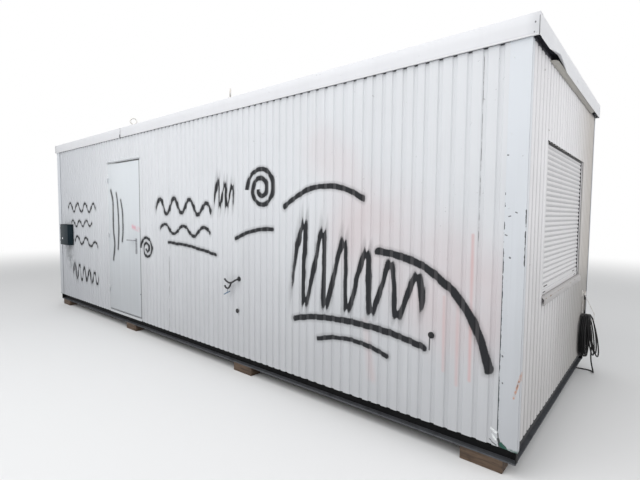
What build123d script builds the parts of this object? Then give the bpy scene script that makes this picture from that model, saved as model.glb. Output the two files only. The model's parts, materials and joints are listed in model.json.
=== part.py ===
import os
from math import radians, sqrt, tan

from build123d import *

os.makedirs("parts", exist_ok=True)

# Portable site cabin: steel floor frame on packers, slab walls with trapezoidal cladding, a crown of
# fascia round the roof, one outward door in the long front and one shuttered window in the right end.
# Origin: bottom centre. +X runs along the length to the window end, the door front faces -Y, +Z is up.

# Overall size, over the crests of the cladding
cabin_length = 7240
cabin_width = 2460
half_length = cabin_length / 2
half_width = cabin_width / 2

# Heights from the ground up
packer_height = 80
channel_height = 100
frame_top = packer_height + channel_height
cladding_drop = 15
cladding_bottom = frame_top - cladding_drop
fascia_gap_height = 2350
fascia_bottom = cladding_bottom + fascia_gap_height
fascia_height = 120
fascia_top = fascia_bottom + fascia_height

# Walls and cladding. The grooves come in runs, each so many more grooves at one pitch, counted from the
# wall's left corner: the front's sheets near the window end are spaced less evenly.
groove_floor = 20
groove_slope = 7
groove_depth = 10
first_groove = 42
front_runs = ((69, 80.6), (6, 89.7), (6, 79.6), (5, 92))
back_runs = ((87, 80.6),)
end_pitch = 84.7
first_end_groove = 49
end_runs = ((28, end_pitch),)
sheet_thickness = 1
panel_thickness = 50
panel_face = groove_depth + sheet_thickness
sheet_seam = 3480
seam_gap = 2
cladding_tuck = 15
cladding_top = fascia_bottom + cladding_tuck
wall_tuck = 45
wall_top = fascia_bottom + wall_tuck

# Floor frame
channel_flange = 50
channel_web = 6
channel_thickness = 8
floor_thickness = 20
floor_top = frame_top + floor_thickness
joist_width = 50
joist_count = 9
packer_length = 260
packer_width = 120
packer_count = 4
packer_from_end = 70

# Roof and fascia
roof_panel_thickness = 60
fascia_sheet = 2
fascia_lip = 12
fascia_flange = 60
overhang_long = 15
overhang_end = 35
fascia_joint_from_left = 2332
fascia_joint_gap = 3
roof_rib_pitch = 400
roof_rib_crest = 40
roof_rib_slope = 10
roof_rib_height = 10
soffit_thickness = 2
soffit_drop = 15
soffit_lost_front = 410
soffit_lost_back = 300

# Lifting eyes
eye_from_end = 2650
eye_ring_radius = 36
eye_wire_radius = 7.5
eye_wire_chamfer = 4.4
eye_ring_sides = 20
eye_base_sides = 12
eye_base_radius = 22
eye_base_height = 9
eye_turns = {"front_left": 64, "front_right": -38, "back_left": 15, "back_right": 80}

# Door, hung on its left edge and opening outwards
door_from_left = 1915
door_left = -half_length + door_from_left
door_width = 890
door_height = 1998
door_thickness = 40
door_gap = 5
door_frame_face = 22
door_frame_proud = 2
door_frame_depth = panel_face + panel_thickness
door_stop = 14
drip_height = 10
drip_depth = 14
threshold_fall = 4
threshold_sheet = 3
hinge_radius = 8
hinge_pin_radius = 4
hinge_height = 45
hinge_pin_reach = 31.5
hinge_play = 0.5
hinge_stand = 1
hinge_plate = 3
hinge_plate_width = 30
hinge_rises = (245, 995, 1745)

# Lock plates and lever
lock_from_edge = 105
lock_plate_width = 38
lock_plate_height = 197
lock_plate_thickness = 6
lock_plate_corner = 10
lever_rise = 990
lever_length = 165
lever_radius = 8
rod_sides = 6
lever_stand = 48
lever_tuck = 1
lever_bend = 14
lock_plate_top = 24
spindle_radius = 6
spindle_play = 0.3

# Window and roller shutter in the right end wall
window_start = 485
window_width = 1416
window_sill_height = 844
window_height = 1015
frame_section = 45
frame_depth = 28
glass_thickness = 4
shutter_setback = 16
slat_count = 24
slat_depth = 8
slat_bulge = 4
bottom_bar_height = 28
bottom_bar_edge = 3
guide_width = 42
guide_depth = 16
guide_proud = 4
sill_height = 40
sill_sheet = 2
sill_fall = 12
sill_projection = 14
sill_overlap = 25

# Corner covers and end rails
corner_long_flange = 117
corner_end_flange = 40
corner_sheet = 1.5
end_rail_height = 45
end_rail_sheet = 3

# Fittings on the walls
box_from_left = 283
box_left = -half_length + box_from_left
box_width = 330
box_height = 325
box_depth = 80
box_bottom = 850
box_lid = 8
box_reveal = 6
box_rain_lip = 4
plug_radius = 22
plug_height = 6
plug_sides = 16
plug_taper = 30
plugs = ((-2540, 437), (-547, 590))
hook_from_corner = -2510
hook_height = 750
hook_stand = 45
hook_rod_radius = 9
hook_arm = ((0, -5), (-44, -31), (-92, -44), (-138, -31), (-165, -10))
hook_leg = ((-64, -36), (-87, -80), (-118, -101), (-152, -92), (-162, -74))
hook_flange_radius = 24
hook_flange_thickness = 6

# Supply cable, coiled and hung on the right end wall
cable_radius = 6
coil_from_back = 315
coil_centre_y = half_width - coil_from_back
coil_bottom = 190
coil_height = 415
coil_width = 360
coil_band = 48
coil_top_depth = 75
coil_foot_depth = 165
coil_wall_gap = 8
coil_sink = 8
plug_rest = 18
plug_length = 90
cable_sides = 6
bend_share = 0.45
join_along = 85
lead_steps = ((0, 0, 0), (0, 0, -50), (-1, 8, -105), (-2, 30, -165))
tail_from_wall = 88
tail_steps = ((0, 85, 30), (1, 84, -50), (4, 90, -115), (8, 112, -165), (4, 150, -183),
              (-30, 175, -183), (-90, 172, -182), (-130, 160, -177))
tail_end = (-165, 150)
gland_height = 800
gland_stand = 22
gland_radius = 11
gland_length = 40
bracket_width = 60
bracket_height = 56
bracket_thickness = 3
hanger_wire = 2
hanger_gap = 3
hanger_wall_gap = 4


def slab(x_low, x_high, y_low, y_high, z_low, z_high):
    """A plain block between two corners."""
    with BuildPart() as block:
        with BuildSketch(Plane.XY.offset(z_low)):
            with Locations(((x_low + x_high) / 2, (y_low + y_high) / 2)):
                Rectangle(x_high - x_low, y_high - y_low)
        extrude(amount=z_high - z_low)
    return block.part


def save(part, name):
    """Label a finished piece and write it under its own name."""
    part.label = name
    export_step(part, f"parts/{name}.step")


# Each wall's plane lies on the crests: local X runs along the wall from its left corner as seen from
# outside, local Y points into the wall.
front_plane = Plane(origin=(-half_length, -half_width, 0), x_dir=(1, 0, 0), z_dir=(0, 0, 1))
right_plane = Plane(origin=(half_length, -half_width, 0), x_dir=(0, 1, 0), z_dir=(0, 0, 1))
back_plane = Plane(origin=(half_length, half_width, 0), x_dir=(-1, 0, 0), z_dir=(0, 0, 1))
left_plane = Plane(origin=(-half_length, half_width, 0), x_dir=(0, -1, 0), z_dir=(0, 0, 1))


def groove_places(first, runs):
    """The middles of a ribbed sheet's grooves, from its first one on."""
    places = [first]
    for count, pitch in runs:
        for _ in range(count):
            places.append(places[-1] + pitch)
    return places


def fold_line(start, end, places, floor, slope, depth):
    """A ribbed sheet's outer line from start to end, each point as (along, depth below the crests)."""
    folds = [(start, 0)]
    for middle in places:
        if middle - floor / 2 - slope < start or middle + floor / 2 + slope > end:
            continue
        folds.append((middle - floor / 2 - slope, 0))
        folds.append((middle - floor / 2, depth))
        folds.append((middle + floor / 2, depth))
        folds.append((middle + floor / 2 + slope, 0))
    folds.append((end, 0))
    return folds


def cladding(plane, start, end, places, z_low, z_high):
    """One ribbed sheet on a wall plane, its back flat against the slab."""
    folds = fold_line(start, end, places, groove_floor, groove_slope, groove_depth)
    with BuildPart() as sheet:
        with BuildSketch(plane.offset(z_low)):
            with BuildLine():
                Polyline(*folds, (end, panel_face), (start, panel_face), close=True)
            make_face()
        extrude(amount=z_high - z_low)
    return sheet.part


def channel(length):
    """A rolled channel along X with its web behind and its flanges towards -Y, standing on Z = 0."""
    with BuildPart() as rolled:
        with BuildSketch(Plane.YZ.offset(-length / 2)):
            with Locations((-channel_flange / 2, channel_height / 2)):
                Rectangle(channel_flange, channel_height)
            with Locations((-channel_flange / 2 - channel_web / 2, channel_height / 2)):
                Rectangle(channel_flange - channel_web, channel_height - 2 * channel_thickness,
                          mode=Mode.SUBTRACT)
        extrude(amount=length)
    return rolled.part


# Packers, floor frame and floor
channel_face = half_width - panel_face
channel_length = cabin_length - 2 * panel_face

packer_step = (channel_length - 2 * packer_from_end - packer_length) / (packer_count - 1)
with BuildPart() as support_packers:
    for row in (-1, 1):
        with BuildSketch(Plane.XY):
            with Locations((0, row * (channel_face - packer_width / 2))):
                with GridLocations(packer_step, 1, packer_count, 1):
                    Rectangle(packer_length, packer_width)
    extrude(amount=packer_height)
save(support_packers.part, "support_packers")

front_channel = channel(channel_length)
save(Pos(0, -channel_face + channel_flange, packer_height) * front_channel, "chassis_channel_front")
save(Pos(0, channel_face - channel_flange, packer_height) * Rot(0, 0, 180) * front_channel,
     "chassis_channel_back")

end_channel_length = 2 * (channel_face - channel_flange)
end_channel = channel(end_channel_length)
end_place = channel_length / 2 - channel_flange
save(Pos(end_place, 0, packer_height) * Rot(0, 0, 90) * end_channel, "chassis_channel_right")
save(Pos(-end_place, 0, packer_height) * Rot(0, 0, -90) * end_channel, "chassis_channel_left")

joist_step = 2 * end_place / (joist_count + 1)
with BuildPart() as floor_joists:
    with BuildSketch(Plane.XY.offset(packer_height + channel_thickness)):
        with GridLocations(joist_step, 1, joist_count, 1):
            Rectangle(joist_width, end_channel_length)
    extrude(amount=channel_height - channel_thickness)
save(floor_joists.part, "floor_joists")

inner_x = half_length - panel_face - panel_thickness
inner_y = half_width - panel_face - panel_thickness
save(slab(-inner_x, inner_x, -inner_y, inner_y, frame_top, floor_top), "floor_panel")

# Wall slabs, split beside and over the doorway and round the window
panel_x = half_length - panel_face
panel_y = half_width - panel_face
door_right = door_left + door_width
door_bottom = floor_top + door_gap
door_top = door_bottom + door_height
doorway_left = door_left - door_gap - door_frame_face
doorway_right = door_right + door_gap + door_frame_face
doorway_top = door_top + door_gap + door_frame_face
save(slab(-panel_x, doorway_left, -panel_y, -inner_y, frame_top, wall_top), "front_wall_left_of_door")
save(slab(doorway_right, panel_x, -panel_y, -inner_y, frame_top, wall_top), "front_wall_right_of_door")
save(slab(doorway_left, doorway_right, -panel_y, -inner_y, doorway_top, wall_top),
     "front_wall_over_door")
save(slab(-panel_x, panel_x, inner_y, panel_y, frame_top, wall_top), "back_wall")
save(slab(-panel_x, -inner_x, -inner_y, inner_y, frame_top, wall_top), "left_end_wall")

window_low = cladding_bottom + window_sill_height
window_top = window_low + window_height
window_front = -half_width + window_start
window_back = window_front + window_width
save(slab(inner_x, panel_x, -inner_y, window_front, frame_top, wall_top), "right_end_wall_front_side")
save(slab(inner_x, panel_x, window_back, inner_y, frame_top, wall_top), "right_end_wall_back_side")
save(slab(inner_x, panel_x, window_front, window_back, frame_top, window_low),
     "right_end_wall_below_window")
save(slab(inner_x, panel_x, window_front, window_back, window_top, wall_top),
     "right_end_wall_over_window")

# Cladding sheets: the front has a notch for the doorway, the right end a hole for the window
end_cladding_bottom = cladding_bottom + end_rail_height
end_start = panel_face
end_stop = cabin_width - panel_face
front_grooves = groove_places(first_groove, front_runs)
back_grooves = groove_places(first_groove, back_runs)
end_grooves = groove_places(first_end_groove, end_runs)
with BuildPart() as front_cladding:
    add(cladding(front_plane, 0, sheet_seam, front_grooves, cladding_bottom, cladding_top))
    add(slab(doorway_left, doorway_right, -half_width, -panel_y, cladding_bottom, doorway_top),
        mode=Mode.SUBTRACT)
    add(cladding(front_plane, sheet_seam + seam_gap, cabin_length, front_grooves,
                 cladding_bottom, cladding_top))
save(front_cladding.part, "front_cladding")
save(cladding(back_plane, 0, cabin_length, back_grooves, cladding_bottom, cladding_top), "back_cladding")
save(cladding(left_plane, end_start, end_stop, end_grooves, end_cladding_bottom, cladding_top),
     "left_end_cladding")
with BuildPart() as right_end_cladding:
    add(cladding(right_plane, end_start, end_stop, end_grooves, end_cladding_bottom, cladding_top))
    add(slab(panel_x, half_length, window_front, window_back, window_low, window_top), mode=Mode.SUBTRACT)
save(right_end_cladding.part, "right_end_cladding")

# Corner covers: folded angles over the cladding's vertical edges
with BuildPart() as corner_covers:
    for side in (-1, 1):
        for end in (-1, 1):
            tip_x = end * (half_length + corner_sheet)
            tip_y = side * (half_width + corner_sheet)
            with BuildSketch(Plane.XY.offset(cladding_bottom)):
                with BuildLine():
                    Polyline(
                        (tip_x, tip_y),
                        (tip_x - end * corner_long_flange, tip_y),
                        (tip_x - end * corner_long_flange, tip_y - side * corner_sheet),
                        (tip_x - end * corner_sheet, tip_y - side * corner_sheet),
                        (tip_x - end * corner_sheet, tip_y - side * corner_end_flange),
                        (tip_x, tip_y - side * corner_end_flange),
                        close=True,
                    )
                make_face()
    extrude(amount=fascia_bottom - cladding_bottom)
save(corner_covers.part, "corner_covers")

with BuildPart() as end_wall_rails:
    for end in (-1, 1):
        with BuildSketch(Plane.XY.offset(cladding_bottom)):
            with Locations((end * (panel_x + end_rail_sheet / 2), 0)):
                Rectangle(end_rail_sheet, 2 * panel_y)
    extrude(amount=end_rail_height)
save(end_wall_rails.part, "end_wall_rails")

# Door frame: jambs and head with a stop behind the leaf, and a drip strip over the leaf
frame_face_y = -half_width - door_frame_proud
leaf_back_y = frame_face_y + door_thickness
middle_of_door = (doorway_left + doorway_right) / 2
frame_width = doorway_right - doorway_left
frame_height = doorway_top - frame_top
clear_width = frame_width - 2 * door_frame_face
clear_height = frame_height - door_frame_face
with BuildPart() as door_frame:
    with BuildSketch(Plane.XZ.offset(inner_y)):
        with Locations((middle_of_door, frame_top)):
            Rectangle(frame_width, frame_height, align=(Align.CENTER, Align.MIN))
            Rectangle(clear_width, clear_height, align=(Align.CENTER, Align.MIN), mode=Mode.SUBTRACT)
    extrude(amount=-frame_face_y - inner_y)
    with BuildSketch(Plane.XZ.offset(inner_y)):
        with Locations((middle_of_door, frame_top)):
            Rectangle(clear_width, clear_height, align=(Align.CENTER, Align.MIN))
        with Locations((middle_of_door, floor_top)):
            Rectangle(clear_width - 2 * door_stop, clear_height - door_stop - floor_thickness,
                      align=(Align.CENTER, Align.MIN), mode=Mode.SUBTRACT)
        with Locations((middle_of_door, frame_top)):
            Rectangle(clear_width, floor_thickness, align=(Align.CENTER, Align.MIN), mode=Mode.SUBTRACT)
    extrude(amount=-leaf_back_y - door_gap - inner_y)
    with BuildSketch(Plane.YZ.offset(doorway_left)):
        with BuildLine():
            Polyline(
                (frame_face_y, doorway_top),
                (frame_face_y, doorway_top - drip_height),
                (frame_face_y - drip_depth, doorway_top - drip_height),
                close=True,
            )
        make_face()
    extrude(amount=frame_width)
save(door_frame.part, "door_frame")

with BuildPart() as door_threshold:
    with BuildSketch(Plane.YZ.offset(middle_of_door - clear_width / 2)):
        with BuildLine():
            Polyline(
                (-inner_y, frame_top),
                (-inner_y, floor_top),
                (frame_face_y, floor_top - threshold_fall),
                (frame_face_y, cladding_bottom),
                (frame_face_y + threshold_sheet, cladding_bottom),
                (frame_face_y + threshold_sheet, frame_top),
                close=True,
            )
        make_face()
    extrude(amount=clear_width)
save(door_threshold.part, "door_threshold")

# Door leaf, its three lift-off hinges, lock plates and lever
lever_x = door_right - lock_from_edge
lever_height = floor_top + lever_rise
with BuildPart() as door_leaf:
    with BuildSketch(Plane.XZ.offset(-leaf_back_y)):
        with Locations((door_left, door_bottom)):
            Rectangle(door_width, door_height, align=(Align.MIN, Align.MIN))
        with Locations((lever_x, lever_height)):
            Circle(spindle_radius + spindle_play, mode=Mode.SUBTRACT)
    extrude(amount=door_thickness)
save(door_leaf.part, "door_leaf")

hinge_x = door_left - door_gap / 2
hinge_heights = [door_bottom + rise for rise in hinge_rises]
hinge_y = frame_face_y - hinge_radius - hinge_stand
with BuildPart() as door_hinges:
    for height in hinge_heights:
        with BuildSketch(Plane.XY.offset(height)):
            with Locations((hinge_x, hinge_y)):
                Circle(hinge_radius)
            with Locations((hinge_x, frame_face_y)):
                Rectangle(hinge_plate_width, hinge_plate, align=(Align.MAX, Align.MAX))
            with Locations((hinge_x, frame_face_y)):
                Rectangle(hinge_radius, hinge_radius, align=(Align.MAX, Align.MAX))
        extrude(amount=hinge_height)
        with BuildSketch(Plane.XY.offset(height + hinge_height)):
            with Locations((hinge_x, hinge_y)):
                Circle(hinge_pin_radius)
        extrude(amount=hinge_pin_reach)
save(door_hinges.part, "door_hinges")

with BuildPart() as door_leaf_hinges:
    for height in hinge_heights:
        with BuildSketch(Plane.XY.offset(height + hinge_height + hinge_play)):
            with Locations((hinge_x, hinge_y)):
                Circle(hinge_radius)
            with Locations((hinge_x, frame_face_y)):
                Rectangle(hinge_plate_width + door_gap / 2, hinge_plate, align=(Align.MIN, Align.MAX))
            with Locations((hinge_x, frame_face_y)):
                Rectangle(hinge_radius, hinge_radius, align=(Align.MIN, Align.MAX))
        extrude(amount=hinge_height)
        with BuildSketch(Plane.XY.offset(height + hinge_height)):
            with Locations((hinge_x, hinge_y)):
                Circle(hinge_pin_radius + spindle_play)
        extrude(amount=hinge_pin_reach + 2 * hinge_play, mode=Mode.SUBTRACT)
save(door_leaf_hinges.part, "door_leaf_hinges")

plate_top = lever_height + lock_plate_top
with BuildPart() as lock_plates:
    for face_y in (frame_face_y, leaf_back_y + lock_plate_thickness):
        with BuildSketch(Plane.XZ.offset(-face_y)):
            with Locations((lever_x, plate_top - lock_plate_height / 2)):
                plate = Rectangle(lock_plate_width, lock_plate_height)
            chamfer(plate.vertices(), lock_plate_corner)
            with Locations((lever_x, lever_height)):
                Circle(lever_radius + 2 * spindle_play, mode=Mode.SUBTRACT)
        extrude(amount=lock_plate_thickness)
save(lock_plates.part, "lock_plates")

outer_lever_y = frame_face_y - lever_stand
inner_lever_y = leaf_back_y + lever_stand
with BuildPart() as door_lever:
    with BuildSketch(Plane.XZ.offset(-inner_lever_y)):
        with Locations((lever_x, lever_height)):
            Circle(spindle_radius)
    extrude(amount=inner_lever_y - outer_lever_y)
    for lever_y, direction in ((outer_lever_y, 1), (inner_lever_y, -1)):
        with BuildLine() as grip:
            FilletPolyline(
                (lever_x, lever_y + direction * (lever_stand - lock_plate_thickness + lever_tuck), lever_height),
                (lever_x, lever_y, lever_height),
                (lever_x - lever_length, lever_y, lever_height),
                radius=lever_bend,
            )
        with BuildSketch(Plane(origin=grip.line @ 0, z_dir=grip.line % 0)):
            RegularPolygon(lever_radius, rod_sides)
        sweep(path=grip.line)
save(door_lever.part, "door_lever")

# Window behind its roller shutter
opening_middle = (window_front + window_back) / 2
light_width = (window_width - 2.5 * frame_section) / 2
light_height = window_height - 2 * frame_section
light_step = light_width + frame_section / 2
light_middle = (opening_middle, window_low + window_height / 2)
with BuildPart() as window_frame:
    with BuildSketch(Plane.YZ.offset(inner_x)):
        with Locations((opening_middle, window_low)):
            Rectangle(window_width, window_height, align=(Align.CENTER, Align.MIN))
        with Locations(light_middle):
            with GridLocations(light_step, 1, 2, 1):
                Rectangle(light_width, light_height, mode=Mode.SUBTRACT)
    extrude(amount=frame_depth)
save(window_frame.part, "window_frame")

with BuildPart() as window_glass:
    with BuildSketch(Plane.YZ.offset(inner_x + frame_depth / 2)):
        with Locations(light_middle):
            with GridLocations(light_step, 1, 2, 1):
                Rectangle(light_width, light_height)
    extrude(amount=glass_thickness)
save(window_glass.part, "window_glass")

shutter_face = half_length - shutter_setback
curtain_low = window_low + bottom_bar_height
slat_pitch = (window_height - bottom_bar_height) / slat_count
with BuildPart() as roller_shutter:
    with BuildSketch(Plane.XZ.offset(-window_front - guide_width)):
        with BuildLine():
            for slat in range(slat_count):
                low = curtain_low + slat * slat_pitch
                high = low + slat_pitch
                ThreePointArc((shutter_face - slat_bulge, low), (shutter_face, (low + high) / 2),
                              (shutter_face - slat_bulge, high))
            Polyline(
                (shutter_face - slat_bulge, window_top),
                (shutter_face - slat_depth, window_top),
                (shutter_face - slat_depth, window_low),
                (shutter_face, window_low),
                (shutter_face, curtain_low - bottom_bar_edge),
                (shutter_face - slat_bulge, curtain_low),
            )
        make_face()
    extrude(amount=-(window_width - 2 * guide_width))
save(roller_shutter.part, "roller_shutter")

with BuildPart() as shutter_guides:
    with BuildSketch(Plane.XY.offset(window_low)):
        for end_y, align in ((window_front, Align.MIN), (window_back, Align.MAX)):
            with Locations((shutter_face + guide_proud, end_y)):
                Rectangle(guide_depth, guide_width, align=(Align.MAX, align))
    extrude(amount=window_height)
save(shutter_guides.part, "shutter_guides")

with BuildPart() as window_sill:
    with BuildSketch(Plane.XZ.offset(-window_front + sill_overlap)):
        with BuildLine():
            Polyline(
                (half_length, window_low),
                (half_length + sill_projection, window_low - sill_fall),
                (half_length + sill_projection, window_low - sill_fall - sill_height),
                (half_length + sill_projection - sill_sheet, window_low - sill_fall - sill_height),
                (half_length, window_low - sill_fall - sill_height + sill_projection),
                close=True,
            )
        make_face()
    extrude(amount=-(window_width + sill_overlap))
save(window_sill.part, "window_sill")

# Roof: an insulated panel under a ribbed sheet, with the fascia folded round its edges
fascia_x = half_length + overhang_end
fascia_y = half_width + overhang_long
roof_x = fascia_x - fascia_sheet
roof_y = fascia_y - fascia_sheet
roof_top = wall_top + roof_panel_thickness
save(slab(-roof_x, roof_x, -roof_y, roof_y, wall_top, roof_top), "roof_panel")

roof_seams = int(2 * roof_x / roof_rib_pitch)
roof_first = (2 * roof_x - (roof_seams - 1) * roof_rib_pitch) / 2
roof_ribs = groove_places(roof_first, ((roof_seams - 1, roof_rib_pitch),))
roof_line = fold_line(0, 2 * roof_x, roof_ribs, roof_rib_crest, roof_rib_slope, roof_rib_height)
with BuildPart() as roof_sheet:
    with BuildSketch(Plane.XZ.offset(-roof_y)):
        with BuildLine():
            lower = [(place - roof_x, roof_top + rise) for place, rise in roof_line]
            upper = [(x, z + sheet_thickness) for x, z in reversed(lower)]
            Polyline(*lower, *upper, close=True)
        make_face()
    extrude(amount=2 * roof_y)
save(roof_sheet.part, "roof_sheet")

with BuildPart() as fascia_long:
    with BuildSketch(Plane.YZ.offset(-fascia_x)):
        with BuildLine():
            Polyline(
                (-fascia_y, fascia_bottom),
                (-half_width, fascia_bottom),
                (-half_width, fascia_bottom + fascia_sheet),
                (-roof_y, fascia_bottom + fascia_sheet),
                (-roof_y, fascia_top - fascia_sheet),
                (-fascia_y + fascia_flange, fascia_top - fascia_sheet),
                (-fascia_y + fascia_flange, fascia_top),
                (-fascia_y, fascia_top),
                close=True,
            )
        make_face()
    extrude(amount=2 * fascia_x)
save(Rot(0, 0, 180) * fascia_long.part, "fascia_back")
fascia_joint = -half_length + fascia_joint_from_left
with BuildPart() as fascia_front:
    add(fascia_long.part)
    add(slab(fascia_joint, fascia_joint + fascia_joint_gap, -fascia_y, -fascia_y + fascia_flange,
             fascia_bottom, fascia_top), mode=Mode.SUBTRACT)
save(fascia_front.part, "fascia_front")

with BuildPart() as fascia_right:
    with BuildSketch(Plane.XY.offset(fascia_bottom)):
        with Locations((fascia_x, 0)):
            Rectangle(fascia_lip, cabin_width, align=(Align.MAX, Align.CENTER))
    extrude(amount=fascia_sheet)
    with BuildSketch(Plane.XY.offset(fascia_bottom + fascia_sheet)):
        with Locations((fascia_x, 0)):
            Rectangle(fascia_sheet, 2 * roof_y, align=(Align.MAX, Align.CENTER))
    extrude(amount=fascia_height - 2 * fascia_sheet)
    with BuildSketch(Plane.XY.offset(fascia_top)):
        with Locations((fascia_x, 0)):
            Rectangle(fascia_flange, 2 * (fascia_y - fascia_flange), align=(Align.MAX, Align.CENTER))
    extrude(amount=-fascia_sheet)
save(fascia_right.part, "fascia_right")
save(Rot(0, 0, 180) * fascia_right.part, "fascia_left")

# Soffit strips under the end overhangs; the right one has lost both its ends
soffit_line = [
    (half_length, fascia_bottom - soffit_drop),
    (fascia_x - fascia_lip, fascia_bottom + fascia_sheet),
    (roof_x, fascia_bottom + fascia_sheet),
]
soffit_start = -half_width + soffit_lost_front
soffit_end = half_width - soffit_lost_back
with BuildPart() as soffit_right:
    with BuildSketch(Plane.XZ.offset(-soffit_start)):
        with BuildLine():
            raised = [(x, z + soffit_thickness) for x, z in reversed(soffit_line)]
            Polyline(*soffit_line, *raised, close=True)
        make_face()
    extrude(amount=soffit_start - soffit_end)
save(soffit_right.part, "soffit_right")

soffit_half = half_width - corner_end_flange
with BuildPart() as soffit_left:
    with BuildSketch(Plane.XZ.offset(-soffit_half)):
        with BuildLine():
            Polyline(*soffit_line, *raised, close=True)
        make_face()
    extrude(amount=2 * soffit_half)
save(Rot(0, 0, 180) * soffit_left.part, "soffit_left")

# Lifting eyes screwed down through the fascia's top
eye_x = half_length - eye_from_end
eye_y = fascia_y - fascia_flange / 2
eye_centre = fascia_top + eye_base_height + eye_ring_radius + eye_wire_radius / 2
eye_places = {
    "front_left": (-eye_x, -eye_y),
    "front_right": (eye_x, -eye_y),
    "back_left": (-eye_x, eye_y),
    "back_right": (eye_x, eye_y),
}
with BuildPart() as eye_ring:
    with BuildSketch(Plane.XZ.offset(-eye_wire_radius)):
        RegularPolygon(eye_ring_radius + eye_wire_radius, eye_ring_sides)
        RegularPolygon(eye_ring_radius - eye_wire_radius, eye_ring_sides, mode=Mode.SUBTRACT)
    extrude(amount=2 * eye_wire_radius)
    chamfer(faces().filter_by(Axis.Y).edges(), eye_wire_chamfer)
with BuildPart() as lifting_eyes:
    for corner, (place_x, place_y) in eye_places.items():
        with BuildSketch(Plane.XY.offset(fascia_top)):
            with Locations((place_x, place_y)):
                RegularPolygon(eye_base_radius, eye_base_sides)
        extrude(amount=eye_base_height)
        add(Pos(place_x, place_y, eye_centre) * Rot(0, 0, eye_turns[corner]) * eye_ring.part)
save(lifting_eyes.part, "lifting_eyes")

# Fittings on the long front
box_low = cladding_bottom + box_bottom
with BuildPart() as electric_box:
    with BuildSketch(Plane.XZ.offset(half_width)):
        with Locations((box_left, box_low)):
            Rectangle(box_width, box_height, align=(Align.MIN, Align.MIN))
    extrude(amount=box_depth - box_lid)
    with BuildSketch(Plane.XZ.offset(half_width + box_depth - box_lid)):
        with Locations((box_left + box_width / 2, box_low + box_height / 2)):
            Rectangle(box_width - 2 * box_reveal, box_height - 2 * box_reveal)
    extrude(amount=box_lid)
    with BuildSketch(Plane.YZ.offset(box_left - box_reveal)):
        with Locations((-half_width, box_low + box_height)):
            Rectangle(box_depth + box_rain_lip, box_reveal, align=(Align.MAX, Align.MIN))
    extrude(amount=box_width + 2 * box_reveal)
save(electric_box.part, "electric_box")

with BuildPart() as wall_plugs:
    for from_corner, height in plugs:
        with BuildSketch(Plane.XZ.offset(half_width)):
            with Locations((half_length + from_corner, cladding_bottom + height)):
                RegularPolygon(plug_radius, plug_sides)
        extrude(amount=plug_height, taper=plug_taper)
save(wall_plugs.part, "wall_plugs")

# Black cable hook: a round flange, an arm sagging to one side and a leg that curls under it
hook_x = half_length + hook_from_corner
hook_z = cladding_bottom + hook_height
hook_y = -half_width - hook_stand
with BuildPart() as wall_hook:
    with BuildSketch(Plane.XZ.offset(half_width)):
        with Locations((hook_x, hook_z)):
            Circle(hook_flange_radius)
    extrude(amount=hook_flange_thickness)
    root = [(hook_x, -half_width - hook_flange_thickness / 2, hook_z)]
    for start, steps in ((root, hook_arm), ([], hook_leg)):
        with BuildLine() as rod:
            Polyline(*start, *[(hook_x + along, hook_y, hook_z + up) for along, up in steps])
        with BuildSketch(Plane(origin=rod.line @ 0, z_dir=rod.line % 0)):
            RegularPolygon(hook_rod_radius, rod_sides)
        sweep(path=rod.line, transition=Transition.RIGHT)
save(wall_hook.part, "wall_hook")

# Supply cable: gland and hanger on the end wall, a short lead, the hung coil, a tail and its plug
coil_x = half_length + coil_wall_gap
coil_top = coil_bottom + coil_height
with BuildPart() as cable_coil:
    with BuildSketch(Plane.YZ.offset(coil_x)):
        with Locations((coil_centre_y, coil_bottom + coil_height / 2)):
            SlotOverall(coil_height, coil_width, rotation=90)
            SlotOverall(coil_height - 2 * coil_band, coil_width - 2 * coil_band, rotation=90,
                        mode=Mode.SUBTRACT)
    extrude(amount=coil_foot_depth)
    with BuildSketch(Plane.XZ.offset(-coil_centre_y + coil_width)):
        with BuildLine():
            Polyline(
                (coil_x, coil_bottom),
                (coil_x + coil_foot_depth, coil_bottom),
                (coil_x + coil_top_depth, coil_top),
                (coil_x, coil_top),
                close=True,
            )
        make_face()
    extrude(amount=-2 * coil_width, mode=Mode.INTERSECT)
save(cable_coil.part, "cable_coil")

gland_x = half_length + gland_stand
hanger_back = half_length + hanger_wall_gap
hanger_front = coil_x + coil_top_depth + coil_band / 2 + hanger_gap
hanger_low = coil_top - coil_band - hanger_gap - hanger_wire
with BuildPart() as cable_bracket:
    with BuildSketch(Plane.YZ.offset(half_length)):
        with Locations((coil_centre_y, gland_height)):
            Rectangle(bracket_width, bracket_height)
    extrude(amount=bracket_thickness)
    with BuildSketch(Plane.YZ.offset(half_length + bracket_thickness)):
        with Locations((coil_centre_y + bracket_width / 3, gland_height)):
            Rectangle(gland_radius, gland_length)
    extrude(amount=gland_stand - bracket_thickness)
    with BuildSketch(Plane.XY.offset(gland_height - gland_length / 2)):
        with Locations((gland_x, coil_centre_y + bracket_width / 3)):
            Circle(gland_radius)
    extrude(amount=gland_length)
    with BuildLine() as hanger:
        Polyline(
            (half_length + bracket_thickness / 2, coil_centre_y, gland_height),
            (hanger_front - coil_top_depth / 2, coil_centre_y, gland_height),
            (hanger_front, coil_centre_y, coil_top + 3 * hanger_gap),
            (hanger_front, coil_centre_y, hanger_low),
            (hanger_back, coil_centre_y, hanger_low),
            (hanger_back, coil_centre_y, coil_top),
            (hanger_back + coil_top_depth / 3, coil_centre_y, gland_height - 3 * hanger_wire),
        )
    with BuildSketch(Plane(origin=hanger.line @ 0, z_dir=hanger.line % 0)):
        RegularPolygon(hanger_wire, cable_sides)
    sweep(path=hanger.line, transition=Transition.RIGHT)
save(cable_bracket.part, "cable_bracket")


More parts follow.
